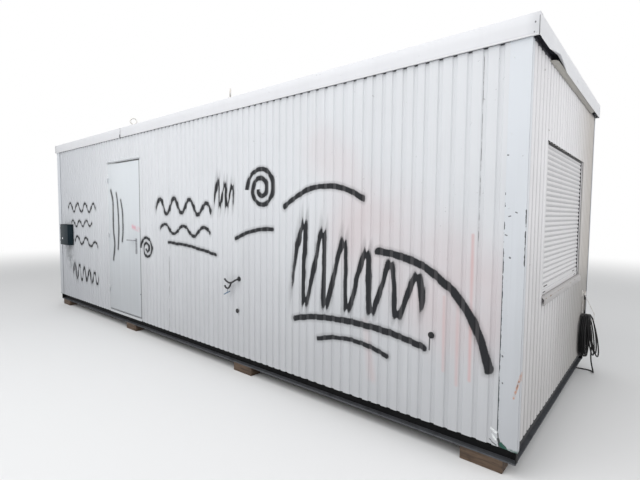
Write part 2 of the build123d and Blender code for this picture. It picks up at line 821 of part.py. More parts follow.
def cable_run(points):
    """A cable tube along its route, each bend as large as its two runs allow."""
    route = [Vector(*point) for point in points]
    radii = []
    for before, here, after in zip(route, route[1:], route[2:]):
        half_turn = radians((here - before).get_angle(after - here) / 2)
        shorter = min((here - before).length, (after - here).length)
        radii.append(bend_share * shorter / tan(half_turn))
    with BuildPart() as tube:
        with BuildLine() as path:
            FilletPolyline(*route, radius=radii)
        with BuildSketch(Plane(origin=path.line @ 0, z_dir=path.line % 0)):
            RegularPolygon(cable_radius, cable_sides)
        sweep(path=path.line)
    return tube.part


gland_y = coil_centre_y + bracket_width / 3
gland_exit = gland_height - gland_length / 2
lead_route = [(gland_x + out, gland_y + along, gland_exit + up) for out, along, up in lead_steps]
shoulder = sqrt((coil_width / 2) ** 2 - join_along ** 2)
lead_route.append((gland_x + lead_steps[-1][0], coil_centre_y + join_along,
                   coil_top - coil_width / 2 + shoulder - coil_sink))
save(cable_run(lead_route), "cable_lead")

tail_x = half_length + tail_from_wall
tail_route = [(tail_x + out, coil_centre_y + along, coil_bottom + up) for out, along, up in tail_steps]
plug_x = tail_x + tail_end[0]
plug_y = coil_centre_y + tail_end[1]
tail_route.append((plug_x, plug_y, plug_rest))
save(cable_run(tail_route), "cable_tail")

with BuildPart() as cable_plug:
    with BuildSketch(Plane.YZ.offset(plug_x)):
        with Locations((plug_y, plug_rest)):
            RegularPolygon(plug_rest, plug_sides)
    extrude(amount=-plug_length)
save(cable_plug.part, "cable_plug")
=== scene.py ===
import json
import math

import bmesh
import bpy
from mathutils import Matrix, Vector, noise

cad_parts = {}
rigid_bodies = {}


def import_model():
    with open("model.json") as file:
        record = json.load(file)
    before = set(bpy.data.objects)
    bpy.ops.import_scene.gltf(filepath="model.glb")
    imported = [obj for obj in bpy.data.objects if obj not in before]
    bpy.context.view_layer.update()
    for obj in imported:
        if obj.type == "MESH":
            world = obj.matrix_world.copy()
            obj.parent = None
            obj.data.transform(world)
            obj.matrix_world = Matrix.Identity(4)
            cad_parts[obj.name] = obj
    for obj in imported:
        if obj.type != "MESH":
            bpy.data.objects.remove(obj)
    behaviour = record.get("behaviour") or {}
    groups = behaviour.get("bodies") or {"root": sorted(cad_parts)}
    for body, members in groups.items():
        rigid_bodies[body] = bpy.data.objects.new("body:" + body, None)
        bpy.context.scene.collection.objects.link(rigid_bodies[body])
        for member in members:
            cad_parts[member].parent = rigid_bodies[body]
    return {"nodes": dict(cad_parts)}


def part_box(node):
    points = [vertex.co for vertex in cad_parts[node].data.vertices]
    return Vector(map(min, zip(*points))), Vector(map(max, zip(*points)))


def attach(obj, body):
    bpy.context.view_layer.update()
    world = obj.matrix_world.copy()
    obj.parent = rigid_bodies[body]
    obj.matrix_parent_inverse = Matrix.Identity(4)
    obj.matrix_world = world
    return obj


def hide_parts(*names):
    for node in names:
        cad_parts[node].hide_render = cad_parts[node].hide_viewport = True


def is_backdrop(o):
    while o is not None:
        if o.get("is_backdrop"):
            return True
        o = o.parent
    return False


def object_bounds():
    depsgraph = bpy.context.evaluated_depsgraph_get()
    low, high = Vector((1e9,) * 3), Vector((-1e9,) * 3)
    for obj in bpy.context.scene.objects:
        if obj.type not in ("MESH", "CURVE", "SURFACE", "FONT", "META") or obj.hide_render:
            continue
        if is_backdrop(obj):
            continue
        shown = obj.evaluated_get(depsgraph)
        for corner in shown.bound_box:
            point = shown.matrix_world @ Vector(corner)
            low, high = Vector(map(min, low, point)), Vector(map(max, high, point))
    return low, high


for startItem in list(bpy.data.objects):
    bpy.data.objects.remove(startItem)
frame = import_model()
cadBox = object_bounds()
nodes = frame["nodes"]
scene = bpy.context.scene


def linked(name, data):
    item = bpy.data.objects.new(name, data)
    scene.collection.objects.link(item)
    return item


# Camera, at the photograph's place and angle
view = {"place": (4.2328, -3.7464, 1.5399), "turn": 40.067, "tilt": -3.563, "roll": 0.466, "across": 75.294}

cameraData = bpy.data.cameras.new("photoCamera")
cameraData.sensor_fit = "HORIZONTAL"
cameraData.angle = math.radians(view["across"])
cameraData.clip_end = 200
scene.camera = linked("photoCamera", cameraData)
scene.camera.matrix_world = (Matrix.Translation(view["place"])
                             @ Matrix.Rotation(math.radians(view["turn"]), 4, "Z")
                             @ Matrix.Rotation(math.radians(90 + view["tilt"]), 4, "X")
                             @ Matrix.Rotation(math.radians(view["roll"]), 4, "Z"))
print("camera placed")

# Main lines, read from the frame
frontLow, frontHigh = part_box("front_cladding")
endLow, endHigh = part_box("right_end_cladding")
leftEnd, rightEnd = frontLow.x, frontHigh.x
frontFace = frontLow.y
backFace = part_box("back_cladding")[1].y
sheetFoot, sheetHead = frontLow.z, frontHigh.z


# Node helpers. A Value is an output in a node tree, and arithmetic on it adds Math nodes.
class Value:
    def __init__(self, tree, socket):
        self.tree = tree
        self.socket = socket

    def calc(self, operation, *others, clamp=False):
        return put(self.tree, "Math", (self, *others), operation=operation, use_clamp=clamp)

    def vector(self, operation, *others):
        output = "Value" if operation in ("LENGTH", "DOT_PRODUCT") else "Vector"
        return put(self.tree, "VectorMath", (self, *others), output, operation=operation)

    def axis(self, name):
        return put(self.tree, "SeparateXYZ", (self,), name)

    def grain(self, scale, detail=3.0, rough=0.55, stretch=None):
        place = put(self.tree, "Mapping", {"Vector": self, "Scale": stretch}) if stretch else self
        sockets = {"Vector": place, "Scale": scale, "Detail": detail, "Roughness": rough}
        return put(self.tree, "TexNoise", sockets, "Fac")

    def spread(self, low, high, toLow=0.0, toHigh=1.0):
        sockets = {"Value": self, "From Min": low, "From Max": high, "To Min": toLow, "To Max": toHigh}
        return put(self.tree, "MapRange", sockets, "Result", interpolation_type="SMOOTHSTEP")

    def mix(self, under, over):
        under, over = [(*color, 1.0) if isinstance(color, tuple) else color for color in (under, over)]
        return put(self.tree, "Mix", {0: self, 6: under, 7: over}, 2, data_type="RGBA")

    def also(self, name):
        return Value(self.tree, self.socket.node.outputs[name])

    def most(self, other):
        return self.calc("MAXIMUM", other)

    def least(self, other):
        return self.calc("MINIMUM", other)

    def __add__(self, other):
        return self.calc("ADD", other)

    def __sub__(self, other):
        return self.calc("SUBTRACT", other)

    def __rsub__(self, other):
        return put(self.tree, "Math", (other, self), operation="SUBTRACT")

    def __mul__(self, other):
        return self.calc("MULTIPLY", other)

    def __truediv__(self, other):
        return self.calc("DIVIDE", other)

    def __abs__(self):
        return self.calc("ABSOLUTE")


def feed(tree, socket, value):
    if isinstance(value, Value):
        tree.links.new(value.socket, socket)
    else:
        socket.default_value = value


def put(tree, kind, sockets=(), output=0, **settings):
    node = tree.nodes.new("ShaderNode" + kind)
    for name, value in settings.items():
        setattr(node, name, value)
    for key, value in sockets.items() if isinstance(sockets, dict) else enumerate(sockets):
        feed(tree, node.inputs[key], value)
    return Value(tree, node.outputs[output])


def use(group, output, sockets):
    return put(sockets["Place"].tree, "Group", sockets, output, node_tree=group)


def newGroup(name, inputs):
    tree = bpy.data.node_groups.new(name, "ShaderNodeTree")
    for socket, value in inputs.items():
        kind = "Float" if isinstance(value, float) else {3: "Vector", 4: "Color"}[len(value)]
        made = tree.interface.new_socket(socket, in_out="INPUT", socket_type="NodeSocket" + kind)
        made.default_value = value
    enter = tree.nodes.new("NodeGroupInput").outputs
    return tree, {socket: Value(tree, enter[socket]) for socket in inputs}


def finishGroup(tree, outputs):
    for socket in outputs:
        kind = "Color" if socket == "Color" else "Float"
        tree.interface.new_socket(socket, in_out="OUTPUT", socket_type="NodeSocket" + kind)
    leave = tree.nodes.new("NodeGroupOutput").inputs
    for socket, value in outputs.items():
        feed(tree, leave[socket], value)


# Weathered paint: runs of dirt, a foot tinted by dirt and painted shade, mottling and specks over one paint
# colour
weatherAndShade, enter = newGroup("weatheredAndShadedPaint", {
    "Place": (0, 0, 0), "Paint": (0.8, 0.8, 0.8, 1), "Grime": (0.25, 0.24, 0.22, 1), "Mottle": 0.1,
    "Streaks": 0.2, "Foot Dirt And Shade": 0.0, "Foot Height": 0.3, "Specks": 0.5, "Sheen": 0.38})
place = enter["Place"]
broad = place.grain(1.3, 4.0)
fine = place.grain(55.0)
runs = place.grain(1.0, 4.0, 0.6, (14.0, 14.0, 0.45))
thinRuns = place.grain(1.0, 3.0, 0.6, (70.0, 70.0, 0.8))
ragged = (runs - 0.5) * 0.8 + place.axis("Z")
# the foot's tint is dirt, and painted shade near the ground
footDirtAndShade = ragged.spread(enter["Foot Height"], 0.1) * enter["Foot Dirt And Shade"]
runMask = runs.spread(0.5, 0.78) * enter["Streaks"]
thinMask = thinRuns.spread(0.56, 0.8) * enter["Streaks"]
mottleMask = broad.spread(0.35, 0.7) * enter["Mottle"]
speckMask = place.grain(38.0, 2.0).spread(0.735, 0.76) * enter["Specks"]
dirt = footDirtAndShade.most(runMask).calc("ADD", mottleMask + thinMask, clamp=True).most(speckMask)
finishGroup(weatherAndShade, {"Color": dirt.mix(enter["Paint"], enter["Grime"]),
                      "Roughness": dirt * 0.35 + (fine * 0.14 + enter["Sheen"]),
                      "Height": broad * 0.6 + fine * 0.06})

# Chips along an edge: strongest where the given distance is nought, broken up by noise
chips, enter = newGroup("edgeChips", {"Place": (0, 0, 0), "Distance": 1.0, "Reach": 0.006, "Amount": 0.5})
dashes = enter["Place"].grain(1.0, 3.0, 0.6, (60.0, 60.0, 16.0))
crumbs = enter["Place"].grain(45.0, 2.0)
near = enter["Distance"].spread(enter["Reach"], 0.0)
finishGroup(chips, {"Mask": (near * enter["Amount"] + (dashes + crumbs) * 0.5).spread(0.98, 1.02)})

# One sprayed stroke, a bowed or waved line between two points of a wall: how far a place is off it
stroke, enter = newGroup("sprayStroke", {
    "Place": (0, 0, 0), "From": (0, 0, 0), "To": (1, 0, 0), "Bow": 0.0, "Waves": 0.0, "Height": 0.0,
    "Fading": 0.0, "Width": 0.02, "Others": 1.0})
run = enter["To"].vector("SUBTRACT", enter["From"])
runLength = run.vector("LENGTH")
unit = run.vector("NORMALIZE")
offset = enter["Place"].vector("SUBTRACT", enter["From"])
along = offset.vector("DOT_PRODUCT", unit)
across = offset.vector("DOT_PRODUCT", unit.vector("CROSS_PRODUCT", (0, 1, 0)))
part = along.calc("DIVIDE", runLength, clamp=True)
rest = 1.0 - part
bow = enter["Bow"] * 4.0
beat = enter["Waves"] * math.pi
swing = enter["Height"] * (1.0 - enter["Fading"] * part)
phase = beat * part
arch = part * rest * bow + swing * phase.calc("SINE")
slope = ((rest - part) * bow + swing * beat * phase.calc("COSINE")) / runLength
gapAcross = (across - arch) / (slope * slope + 1.0).calc("SQRT")
gapAlong = along - part * runLength
outside = (gapAcross * gapAcross + gapAlong * gapAlong).calc("SQRT") - enter["Width"]
finishGroup(stroke, {"Outside": outside.least(enter["Others"])})

# One sprayed swirl that grows from its middle by an even pitch
swirl, enter = newGroup("spraySwirl", {
    "Place": (0, 0, 0), "Middle": (0, 0, 0), "Radius": 0.1, "Pitch": 0.05, "Turns": 2.0, "Width": 0.02,
    "Others": 1.0})
offset = enter["Place"].vector("SUBTRACT", enter["Middle"])
share = offset.axis("Z").calc("ARCTAN2", offset.axis("X")) / (2 * math.pi)
ringAt = (offset.vector("LENGTH") - enter["Radius"]) / enter["Pitch"]
turnAt = (ringAt - share).calc("ROUND").most(0.0).least(enter["Turns"])
offRing = abs(ringAt - (turnAt + share))
finishGroup(swirl, {"Outside": (offRing * enter["Pitch"] - enter["Width"]).least(enter["Others"])})

# The marks sprayed on the door front: plain zigzags, waves, sweeps and swirls in black
sprayed = {
    "black": (0.011, 0.012, 0.015),
    "mist": 0.03,
    "grooveCover": 0.93,  # how much of the spray reaches a groove's floor
    # from x, z to x, z, bow, half waves, wave height, fading, half width
    "strokes": (
        (1.84, 1.14, 3.00, 0.98, 0.0, 11, 0.31, 0.60, 0.024), (2.66, 1.28, 3.44, 0.62, 0.19, 0, 0, 0, 0.027),
        (1.84, 0.66, 3.02, 0.66, 0.07, 0, 0, 0, 0.024), (2.10, 0.54, 2.74, 0.54, 0.05, 0, 0, 0, 0.018),
        (1.72, 1.60, 2.52, 1.66, 0.13, 0, 0, 0, 0.021), (-0.42, 1.60, 0.66, 1.56, 0.04, 7, 0.095, 0.3, 0.020),
        (-0.34, 1.36, 0.64, 1.34, 0.0, 5, 0.050, 0.0, 0.017), (-0.16, 1.20, 0.74, 1.12, 0.02, 0, 0, 0, 0.016),
        (0.74, 1.74, 1.02, 1.70, 0.0, 5, 0.110, 0.3, 0.018), (1.06, 1.30, 1.56, 1.40, 0.03, 0, 0, 0, 0.018),
        (-3.18, 1.62, -2.16, 1.60, 0.0, 7, 0.065, 0.0, 0.015),
        (-3.08, 1.36, -2.30, 1.38, 0.0, 6, 0.045, 0, 0.013),
        (-2.94, 1.10, -2.10, 1.04, 0.03, 5, 0.060, 0.2, 0.015),
        (-3.04, 0.62, -2.10, 0.56, 0.0, 10, 0.12, 0.4, 0.016),
        (-1.62, 1.84, -1.58, 0.90, 0.05, 3, 0.02, 0, 0.018), (-1.46, 1.80, -1.44, 1.05, 0.05, 0, 0, 0, 0.015),
        (-1.33, 1.70, -1.31, 1.16, 0.04, 0, 0, 0, 0.014)),
    # middle x, z, first radius, pitch, turns, half width
    "swirls": ((1.42, 1.76, 0.075, 0.080, 1, 0.021), (-0.66, 1.10, 0.050, 0.065, 1, 0.016)),
}
marks, enter = newGroup("sprayedMarks", {"Place": (0, 0, 0)})
flat = enter["Place"].vector("MULTIPLY", (1, 0, 1))
wobble = put(marks, "TexNoise", {"Vector": flat, "Scale": 6.0, "Detail": 2.0}, "Color")
shaken = flat.vector("ADD", wobble.vector("MULTIPLY_ADD", (0.03, 0, 0.03), (-0.015, 0, -0.015)))
farthest = 1.0
for fromX, fromZ, toX, toZ, *rest in sprayed["strokes"]:
    farthest = use(stroke, "Outside", {
        "Place": shaken, "From": (fromX, 0, fromZ), "To": (toX, 0, toZ),
        **dict(zip(("Bow", "Waves", "Height", "Fading", "Width"), rest)), "Others": farthest})
for middleX, middleZ, *rest in sprayed["swirls"]:
    farthest = use(swirl, "Outside", {
        "Place": shaken, "Middle": (middleX, 0, middleZ),
        **dict(zip(("Radius", "Pitch", "Turns", "Width"), rest)), "Others": farthest})
grain = flat.grain(160.0, 2.0)
core = ((grain - 0.5) * 0.012 + farthest).spread(0.006, -0.004)
mist = farthest.spread(sprayed["mist"], 0.0) * (grain * 0.55)
finishGroup(marks, {"Mask": core.most(mist)})
print("shader groups built")


# A material in the making, whose colour is laid on in layers
class Surface:
    def __init__(self, name, roughness=0.5, metallic=0.0):
        self.material = bpy.data.materials.new(name)
        self.material.use_nodes = True
        self.tree = self.material.node_tree
        self.place = put(self.tree, "TexCoord", output="Object")
        self.color = None
        self.set("Roughness", roughness)
        self.set("Metallic", metallic)

    def set(self, name, value):
        feed(self.tree, self.tree.nodes["Principled BSDF"].inputs[name], value)

    def axes(self):
        return [self.place.axis(name) for name in "XYZ"]

    def over(self, color, mask):
        self.color = mask.mix(self.color, color)

    def stroke(self, fromX, fromZ, toX, toZ, halfWidth, soft, onEnd=False):
        wall = self.place.vector("MULTIPLY", (0, 1, 1) if onEnd else (1, 0, 1))
        if onEnd:
            wall = put(self.tree, "Mapping", {"Vector": wall, "Rotation": (0, 0, -math.pi / 2)})
        line = {"Place": wall, "From": (fromX, 0, fromZ), "To": (toX, 0, toZ), "Width": halfWidth}
        return use(stroke, "Outside", line).spread(soft, -0.3 * soft)

    def broken(self, mask, scale):
        return mask * self.place.grain(scale, 4.0, 0.65).spread(0.35, 0.62)

    def marks(self, kinds, origin=0.0, where=1.0, onEnd=False):
        for color, amount, breaks, lines in kinds.values():
            for fromX, fromZ, toX, *rest in lines:
                mask = self.stroke(origin + fromX, fromZ, origin + toX, *rest, onEnd)
                self.over(color, (self.broken(mask, breaks) if breaks else mask) * amount * where)

    def chipped(self, color, distance, reach, amount, place=None):
        sockets = {"Place": place or self.place, "Distance": distance, "Reach": reach, "Amount": amount}
        self.over(color, use(chips, "Mask", sockets))

    def grooveDirtAndShade(self, axis, face, amount):
        # darker deep in the grooves: dirt, and painted shade in the recess
        broken = self.place.grain(1.0, 3.0, 0.6, (9.0, 9.0, 0.8)).spread(0.25, 0.75, 0.55, 1.0)
        depth = abs(self.place.axis(axis) - face)
        self.over((0.24, 0.235, 0.235), depth.spread(0.003, 0.009) * (broken * amount))

    def done(self, height, distance, strength):
        self.set("Base Color", self.color)
        bump = {"Height": height, "Distance": distance, "Strength": strength}
        self.set("Normal", put(self.tree, "Bump", bump))
        return self.material


def paintedSheet(name, look, marked=False, wearAndShade=None, shine=0.5):
    skin = Surface(name)
    sockets = {key: (*value, 1.0) if isinstance(value, tuple) else value for key, value in look.items()}
    skin.color = made = use(weatherAndShade, "Color", {"Place": skin.place, **sockets})
    # added layers: wear, and painted shade or highlight where a piece has them
    if wearAndShade:
        wearAndShade(skin)
    if marked:
        depth = skin.place.axis("Y") - frontFace
        thinned = depth.spread(0.003, 0.010, 1.0, sprayed["grooveCover"])
        skin.over(sprayed["black"], use(marks, "Mask", {"Place": skin.place}) * thinned)
    skin.set("Roughness", made.also("Roughness"))
    skin.set("Specular IOR Level", shine)
    return skin.done(made.also("Height"), 0.0015, 0.5)


# Paints
frontLook = {"Paint": (0.72, 0.735, 0.76), "Grime": (0.27, 0.27, 0.28), "Mottle": 0.06, "Streaks": 0.09,
             "Foot Dirt And Shade": 0.44, "Foot Height": 1.9, "Specks": 0.4, "Sheen": 0.36}
endLook = {"Paint": (0.81, 0.80, 0.82), "Grime": (0.24, 0.225, 0.205), "Mottle": 0.08, "Streaks": 0.15,
           "Foot Dirt And Shade": 0.50, "Foot Height": 1.9, "Specks": 0.5, "Sheen": 0.40}
doorLook = {**frontLook, "Paint": (0.70, 0.735, 0.765), "Streaks": 0.06}
coverLook = {**frontLook, "Paint": (0.70, 0.73, 0.77), "Foot Dirt And Shade": 0.52, "Streaks": 0.06}
trimLook = {**frontLook, "Paint": (0.74, 0.76, 0.78), "Specks": 0.3}
sillLook = {**endLook, "Paint": (0.43, 0.415, 0.415), "Foot Dirt And Shade": 0.0}
fasciaLook = {"Paint": (0.73, 0.735, 0.76), "Grime": (0.35, 0.35, 0.37), "Mottle": 0.05, "Streaks": 0.05,
              "Specks": 0.4, "Sheen": 0.38}
soffitLook = {**fasciaLook, "Paint": (0.42, 0.40, 0.36), "Mottle": 0.25, "Specks": 0.9}
shutterLook = {"Paint": (0.68, 0.67, 0.68), "Grime": (0.35, 0.33, 0.31), "Mottle": 0.06, "Streaks": 0.10,
               "Specks": 0.2, "Sheen": 0.30}
chassisLook = {"Paint": (0.012, 0.013, 0.016), "Grime": (0.060, 0.058, 0.055), "Mottle": 0.3,
               "Streaks": 0.35, "Foot Dirt And Shade": 0.35, "Foot Height": 0.14, "Specks": 0.6, "Sheen": 0.48}
channelLook = {**chassisLook, "Paint": (0.0035, 0.004, 0.005), "Grime": (0.035, 0.034, 0.033),
               "Mottle": 0.2, "Streaks": 0.2, "Foot Dirt And Shade": 0.1}
boxLook = {"Paint": (0.003, 0.013, 0.020), "Grime": (0.07, 0.08, 0.085), "Mottle": 0.2, "Streaks": 0.2,
           "Specks": 0.5, "Sheen": 0.42}
blackLook = {**boxLook, "Paint": (0.016, 0.016, 0.018)}
roofLook = {"Paint": (0.47, 0.48, 0.49), "Grime": (0.20, 0.195, 0.18), "Mottle": 0.4, "Streaks": 0.12,
            "Specks": 0.6, "Sheen": 0.45}
liningLook = {"Paint": (0.66, 0.64, 0.58), "Grime": (0.30, 0.26, 0.20), "Mottle": 0.2, "Streaks": 0.12,
              "Foot Dirt And Shade": 0.25, "Foot Height": 0.5, "Specks": 0.2, "Sheen": 0.5}
pinkStain = (0.62, 0.38, 0.37)
oldGreen = (0.02, 0.09, 0.065)
bareDark = (0.06, 0.055, 0.05)
roofGapShade = (0.018, 0.018, 0.034)

# Marks on the front, as colour, amount, scale of the breaks and lines. A line goes from x, z to x, z and
# has a half width and a soft edge.
frontMarks = {
    # a dark patch under the box
    "darkUnderBox": ((0.08, 0.085, 0.09), 0.5, 9.0, ((-3.18, 0.98, -3.16, 0.80, 0.10, 0.16),)),
    "lap": (bareDark, 0.75, 12.0, ((3.358, 2.52, 3.357, 1.35, 0.0012, 0.0016),)),
    "seam": (bareDark, 0.60, 9.0, ((-0.148, 1.05, -0.156, 0.18, 0.0035, 0.004),)),
    "drip": (sprayed["black"], 0.85, 0, ((3.064, 0.735, 3.062, 0.655, 0.0035, 0.003),)),
}
# Marks at the torn corner, with x counted from the window end. The tears are painted on the whole sheet as
# dark shade, as in holes.
tornMarks = {
    "paleFolds": ((0.86, 0.88, 0.88), 1.0, 60.0, ((-0.150, 0.262, -0.122, 0.250, 0.007, 0.004),
                                                  (-0.142, 0.228, -0.124, 0.205, 0.005, 0.004))),
    "tearShade": ((0.045, 0.05, 0.05), 0.93, 0, (
        (-0.1105, 0.248, -0.102, 0.165, 0.0025, 0.003), (-0.107, 0.212, -0.088, 0.160, 0.007, 0.003),
        (-0.098, 0.185, -0.072, 0.158, 0.010, 0.003), (-0.160, 0.192, -0.118, 0.172, 0.002, 0.003))),
    "oldPaint": (oldGreen, 0.95, 0, ((-0.085, 0.185, -0.062, 0.165, 0.014, 0.006),)),
}
# Pink haze, then drips along the grooves, as lines with an amount
frontStains = (
    (2.55, 1.42, 3.28, 1.02, 0.22, 0.34, 0.26), (3.326, 1.42, 3.330, 0.52, 0.004, 0.014, 0.70),
    (3.247, 1.02, 3.249, 0.47, 0.005, 0.016, 0.42), (3.156, 1.02, 3.160, 0.54, 0.004, 0.014, 0.40),
    (2.10, 2.05, 2.30, 1.90, 0.10, 0.20, 0.16), (2.55, 0.75, 2.62, 0.35, 0.01, 0.05, 0.25))


def frontWearAndShade(skin):
    x, y, z = skin.axes()
    cloud = skin.place.grain(2.2).spread(0.25, 0.70, 0.45, 1.0)
    for *line, amount in frontStains:
        skin.over(pinkStain, skin.stroke(*line) * amount * cloud)
    # painted shade: the paint greys towards the far end
    skin.over((0.34, 0.36, 0.40), x.spread(-0.8, -3.4, 0.0, 0.30))
    skin.marks(tornMarks, rightEnd)
    skin.marks(frontMarks)
    # painted shade under the fascia, deepest at the head of each groove
    skin.over((0.035, 0.035, 0.04), z.spread(2.506, 2.512) * (y - frontFace).spread(0.006, 0.010) * 0.9)
    skin.over((0.10, 0.10, 0.11), z.spread(2.5125, 2.5140, 0.0, 0.8))
    skin.grooveDirtAndShade("Y", frontFace, 0.03)


def doorStainAndShade(skin):
    x, _, z = skin.axes()
    blot = skin.stroke(-1.02, 1.36, -0.84, 1.33, 0.012, 0.035)
    skin.over((0.72, 0.25, 0.33), skin.broken(blot, 16.0) * 0.65)
    # painted shade for the gaps at the lock edge and the foot, and a painted shadow under the drip strip
    lockEdge = x.spread(-0.8275, -0.8235, 0.0, 0.70)
    head = z.spread(2.188, 2.193) * x.spread(-1.62, -1.35, 0.25, 0.88)
    skin.over((0.05, 0.05, 0.055), lockEdge.most(head.most(z.spread(0.222, 0.214, 0.0, 0.55))))


def openHeadShade(skin, where=1.0):
    # painted shade in the roof's open edge, where the soffit is lost, and along the wall's head
    x, y, z = skin.axes()
    lost = z.spread(2.5085, 2.5115) * y.spread(-0.80, -0.86) * x.spread(rightEnd - 0.013, rightEnd - 0.011)
    skin.over(roofGapShade, lost.most(z.spread(2.5165, 2.5180)) * 0.92 * where)


# Damage to the corner cover, with x counted from the window end
coverMarks = {
    "nicks": ((0.06, 0.065, 0.07), 0.85, 0, (
        (-0.056, 1.560, -0.048, 1.556, 0.0025, 0.002), (-0.092, 1.535, -0.082, 1.538, 0.0025, 0.002),
        (-0.110, 1.885, -0.105, 1.884, 0.003, 0.002), (-0.079, 1.300, -0.077, 1.298, 0.0045, 0.002),
        (-0.108, 1.430, -0.098, 1.426, 0.0025, 0.002), (-0.100, 0.720, -0.098, 0.716, 0.004, 0.002),
        (-0.095, 0.560, -0.093, 0.556, 0.003, 0.002))),
    "scrape": ((0.50, 0.27, 0.19), 1.0, 70.0, ((-0.030, 0.485, 0.008, 0.640, 0.004, 0.005),)),
    "scrapeCore": ((0.10, 0.08, 0.07), 1.0, 40.0, ((-0.026, 0.497, -0.006, 0.590, 0.0012, 0.002),)),
}


def coverWearAndShade(skin):
    x, y, z = skin.axes()
    skin.chipped((0.035, 0.045, 0.05), abs(x - (rightEnd - 0.1150)), 0.014, z.spread(2.0, 0.9, 0.36, 0.66))
    plain = skin.color
    # a chipped length of the corner's fold
    offFold = skin.place.vector("SUBTRACT", (rightEnd, frontFace, 0)).vector("MULTIPLY", (1, 1, 0))
    length = z.spread(1.20, 1.28) * z.spread(1.62, 1.56)
    skin.chipped((0.035, 0.04, 0.045), offFold.vector("LENGTH"), 0.011, length * 0.62)
    skin.marks(coverMarks, rightEnd)
    skin.over(oldGreen, skin.broken(z.spread(0.185, 0.168), 50.0) * 0.9)
    # the damage is on the door side only
    skin.color = y.spread(0.0, 0.1).mix(skin.color, plain)
    # painted shade from the open roof edge, but not on the front flange
    openHeadShade(skin, y.spread(frontFace + 0.0005, frontFace + 0.003))


def endWearAndShade(skin):
    _, y, z = skin.axes()
    fromFoot = abs(z - endLow.z)
    skin.chipped(bareDark, fromFoot, 0.03, 0.42)
    skin.over((0.80, 0.80, 0.78), fromFoot.spread(0.006, 0.0) * 0.5)
    # warmer towards the back, darker lower down, and painted shade with dirt in the grooves, stronger lower
    # down
    skin.over((0.43, 0.39, 0.345), y.spread(0.0, 1.1, 0.0, 0.75))
    skin.over((0.31, 0.30, 0.29), y.spread(-0.8, 0.7) * z.spread(1.15, 0.85, 0.0, 0.75))
    skin.grooveDirtAndShade("X", rightEnd, z.spread(1.5, 0.9, 0.55, 0.78))
    openHeadShade(skin)


# Marks on the fascia: the foot and the line of the front joint, screw holes, and scratches along y on the end
jointMarks = {
    "foot": ((0.06, 0.06, 0.07), 0.9, 0, ((-1.2900, 2.540, -1.2910, 2.516, 0.014, 0.004),)),
    "line": ((0.06, 0.06, 0.07), 0.5, 0, ((-1.2865, 2.630, -1.2865, 2.560, 0.003, 0.004),)),
}
holeMarks = {"holes": ((0.07, 0.07, 0.08), 0.85, 0, ((3.632, 2.585, 3.632, 2.582, 0.0032, 0.002),
                                                    (3.628, 2.533, 3.628, 2.530, 0.0022, 0.002)))}
scratchMarks = {"scratches": ((0.10, 0.10, 0.12), 0.8, 0, ((-0.080, 2.560, -0.058, 2.552, 0.0016, 0.002),
                                                          (-0.047, 2.555, -0.025, 2.547, 0.0016, 0.002)))}


def fasciaWear(skin):
    x, y, z = skin.axes()
    skin.over((0.92, 0.92, 0.93), z.spread(2.525, 2.519, 0.0, 0.8))
    # the open corner seam
    seam = x.spread(3.650, 3.6535) * y.spread(-1.237, -1.2405) * z.spread(2.618, 2.610)
    skin.over((0.05, 0.05, 0.06), seam * 0.9)
    skin.marks(jointMarks, where=y.spread(0.1, 0.0))
    skin.marks(scratchMarks, where=x.spread(3.0, 3.5), onEnd=True)
    skin.marks(holeMarks)


def channelFlangeHighlight(skin):
    # painted highlight on the lower flange, under a black web, broken up by noise
    highlightPatches = skin.place.grain(14.0).spread(0.2, 0.6, 0.55, 0.95)
    skin.over((0.105, 0.11, 0.12), skin.place.axis("Z").spread(0.0905, 0.0885) * highlightPatches)


def liningShade(skin):
    # painted shade on the slab's outer face where the lost soffit lets it show
    outward = skin.place.axis("X")
    skin.over((0.014, 0.014, 0.026), outward.spread(rightEnd - 0.014, rightEnd - 0.012, 0.0, 0.95))


def sillWear(skin):
    turned = put(skin.tree, "Mapping", {"Vector": skin.place, "Rotation": (math.pi / 2, 0, 0)})
    skin.chipped((0.20, 0.13, 0.085), abs(skin.place.axis("Z") - 0.9955), 0.018, 0.47, turned)


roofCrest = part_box("roof_sheet")[1].z
frontPaint = paintedSheet("frontPaint", frontLook, True, frontWearAndShade, 0.3)
backPaint = paintedSheet("backPaint", frontLook, wearAndShade=lambda skin: skin.grooveDirtAndShade("Y", backFace, 0.06))
doorPaint = paintedSheet("doorPaint", doorLook, True, doorStainAndShade, 0.3)
trimPaint = paintedSheet("trimPaint", trimLook, True, shine=0.3)
coverPaint = paintedSheet("coverPaint", coverLook, wearAndShade=coverWearAndShade)
endPaint = paintedSheet("endPaint", endLook, wearAndShade=endWearAndShade)
leftPaint = paintedSheet("leftPaint", endLook, wearAndShade=lambda skin: skin.grooveDirtAndShade("X", leftEnd, 0.22))
fasciaPaint = paintedSheet("fasciaPaint", fasciaLook, wearAndShade=fasciaWear)
soffitPaint = paintedSheet("soffitPaint", soffitLook)
sillPaint = paintedSheet("sillPaint", sillLook, wearAndShade=sillWear)
shutterPlastic = paintedSheet("shutterPlastic", shutterLook)
chassisPaint = paintedSheet("chassisPaint", chassisLook, shine=0.2)
channelPaint = paintedSheet("channelPaint", channelLook, wearAndShade=channelFlangeHighlight, shine=0.12)
boxPaint = paintedSheet("boxPaint", boxLook, shine=0.2)
blackRod = paintedSheet("blackRod", blackLook)
liningBoard = paintedSheet("liningBoard", liningLook, wearAndShade=liningShade)
roofMetal = paintedSheet("roofMetal", roofLook, wearAndShade=lambda skin: skin.grooveDirtAndShade("Z", roofCrest, 0.4))


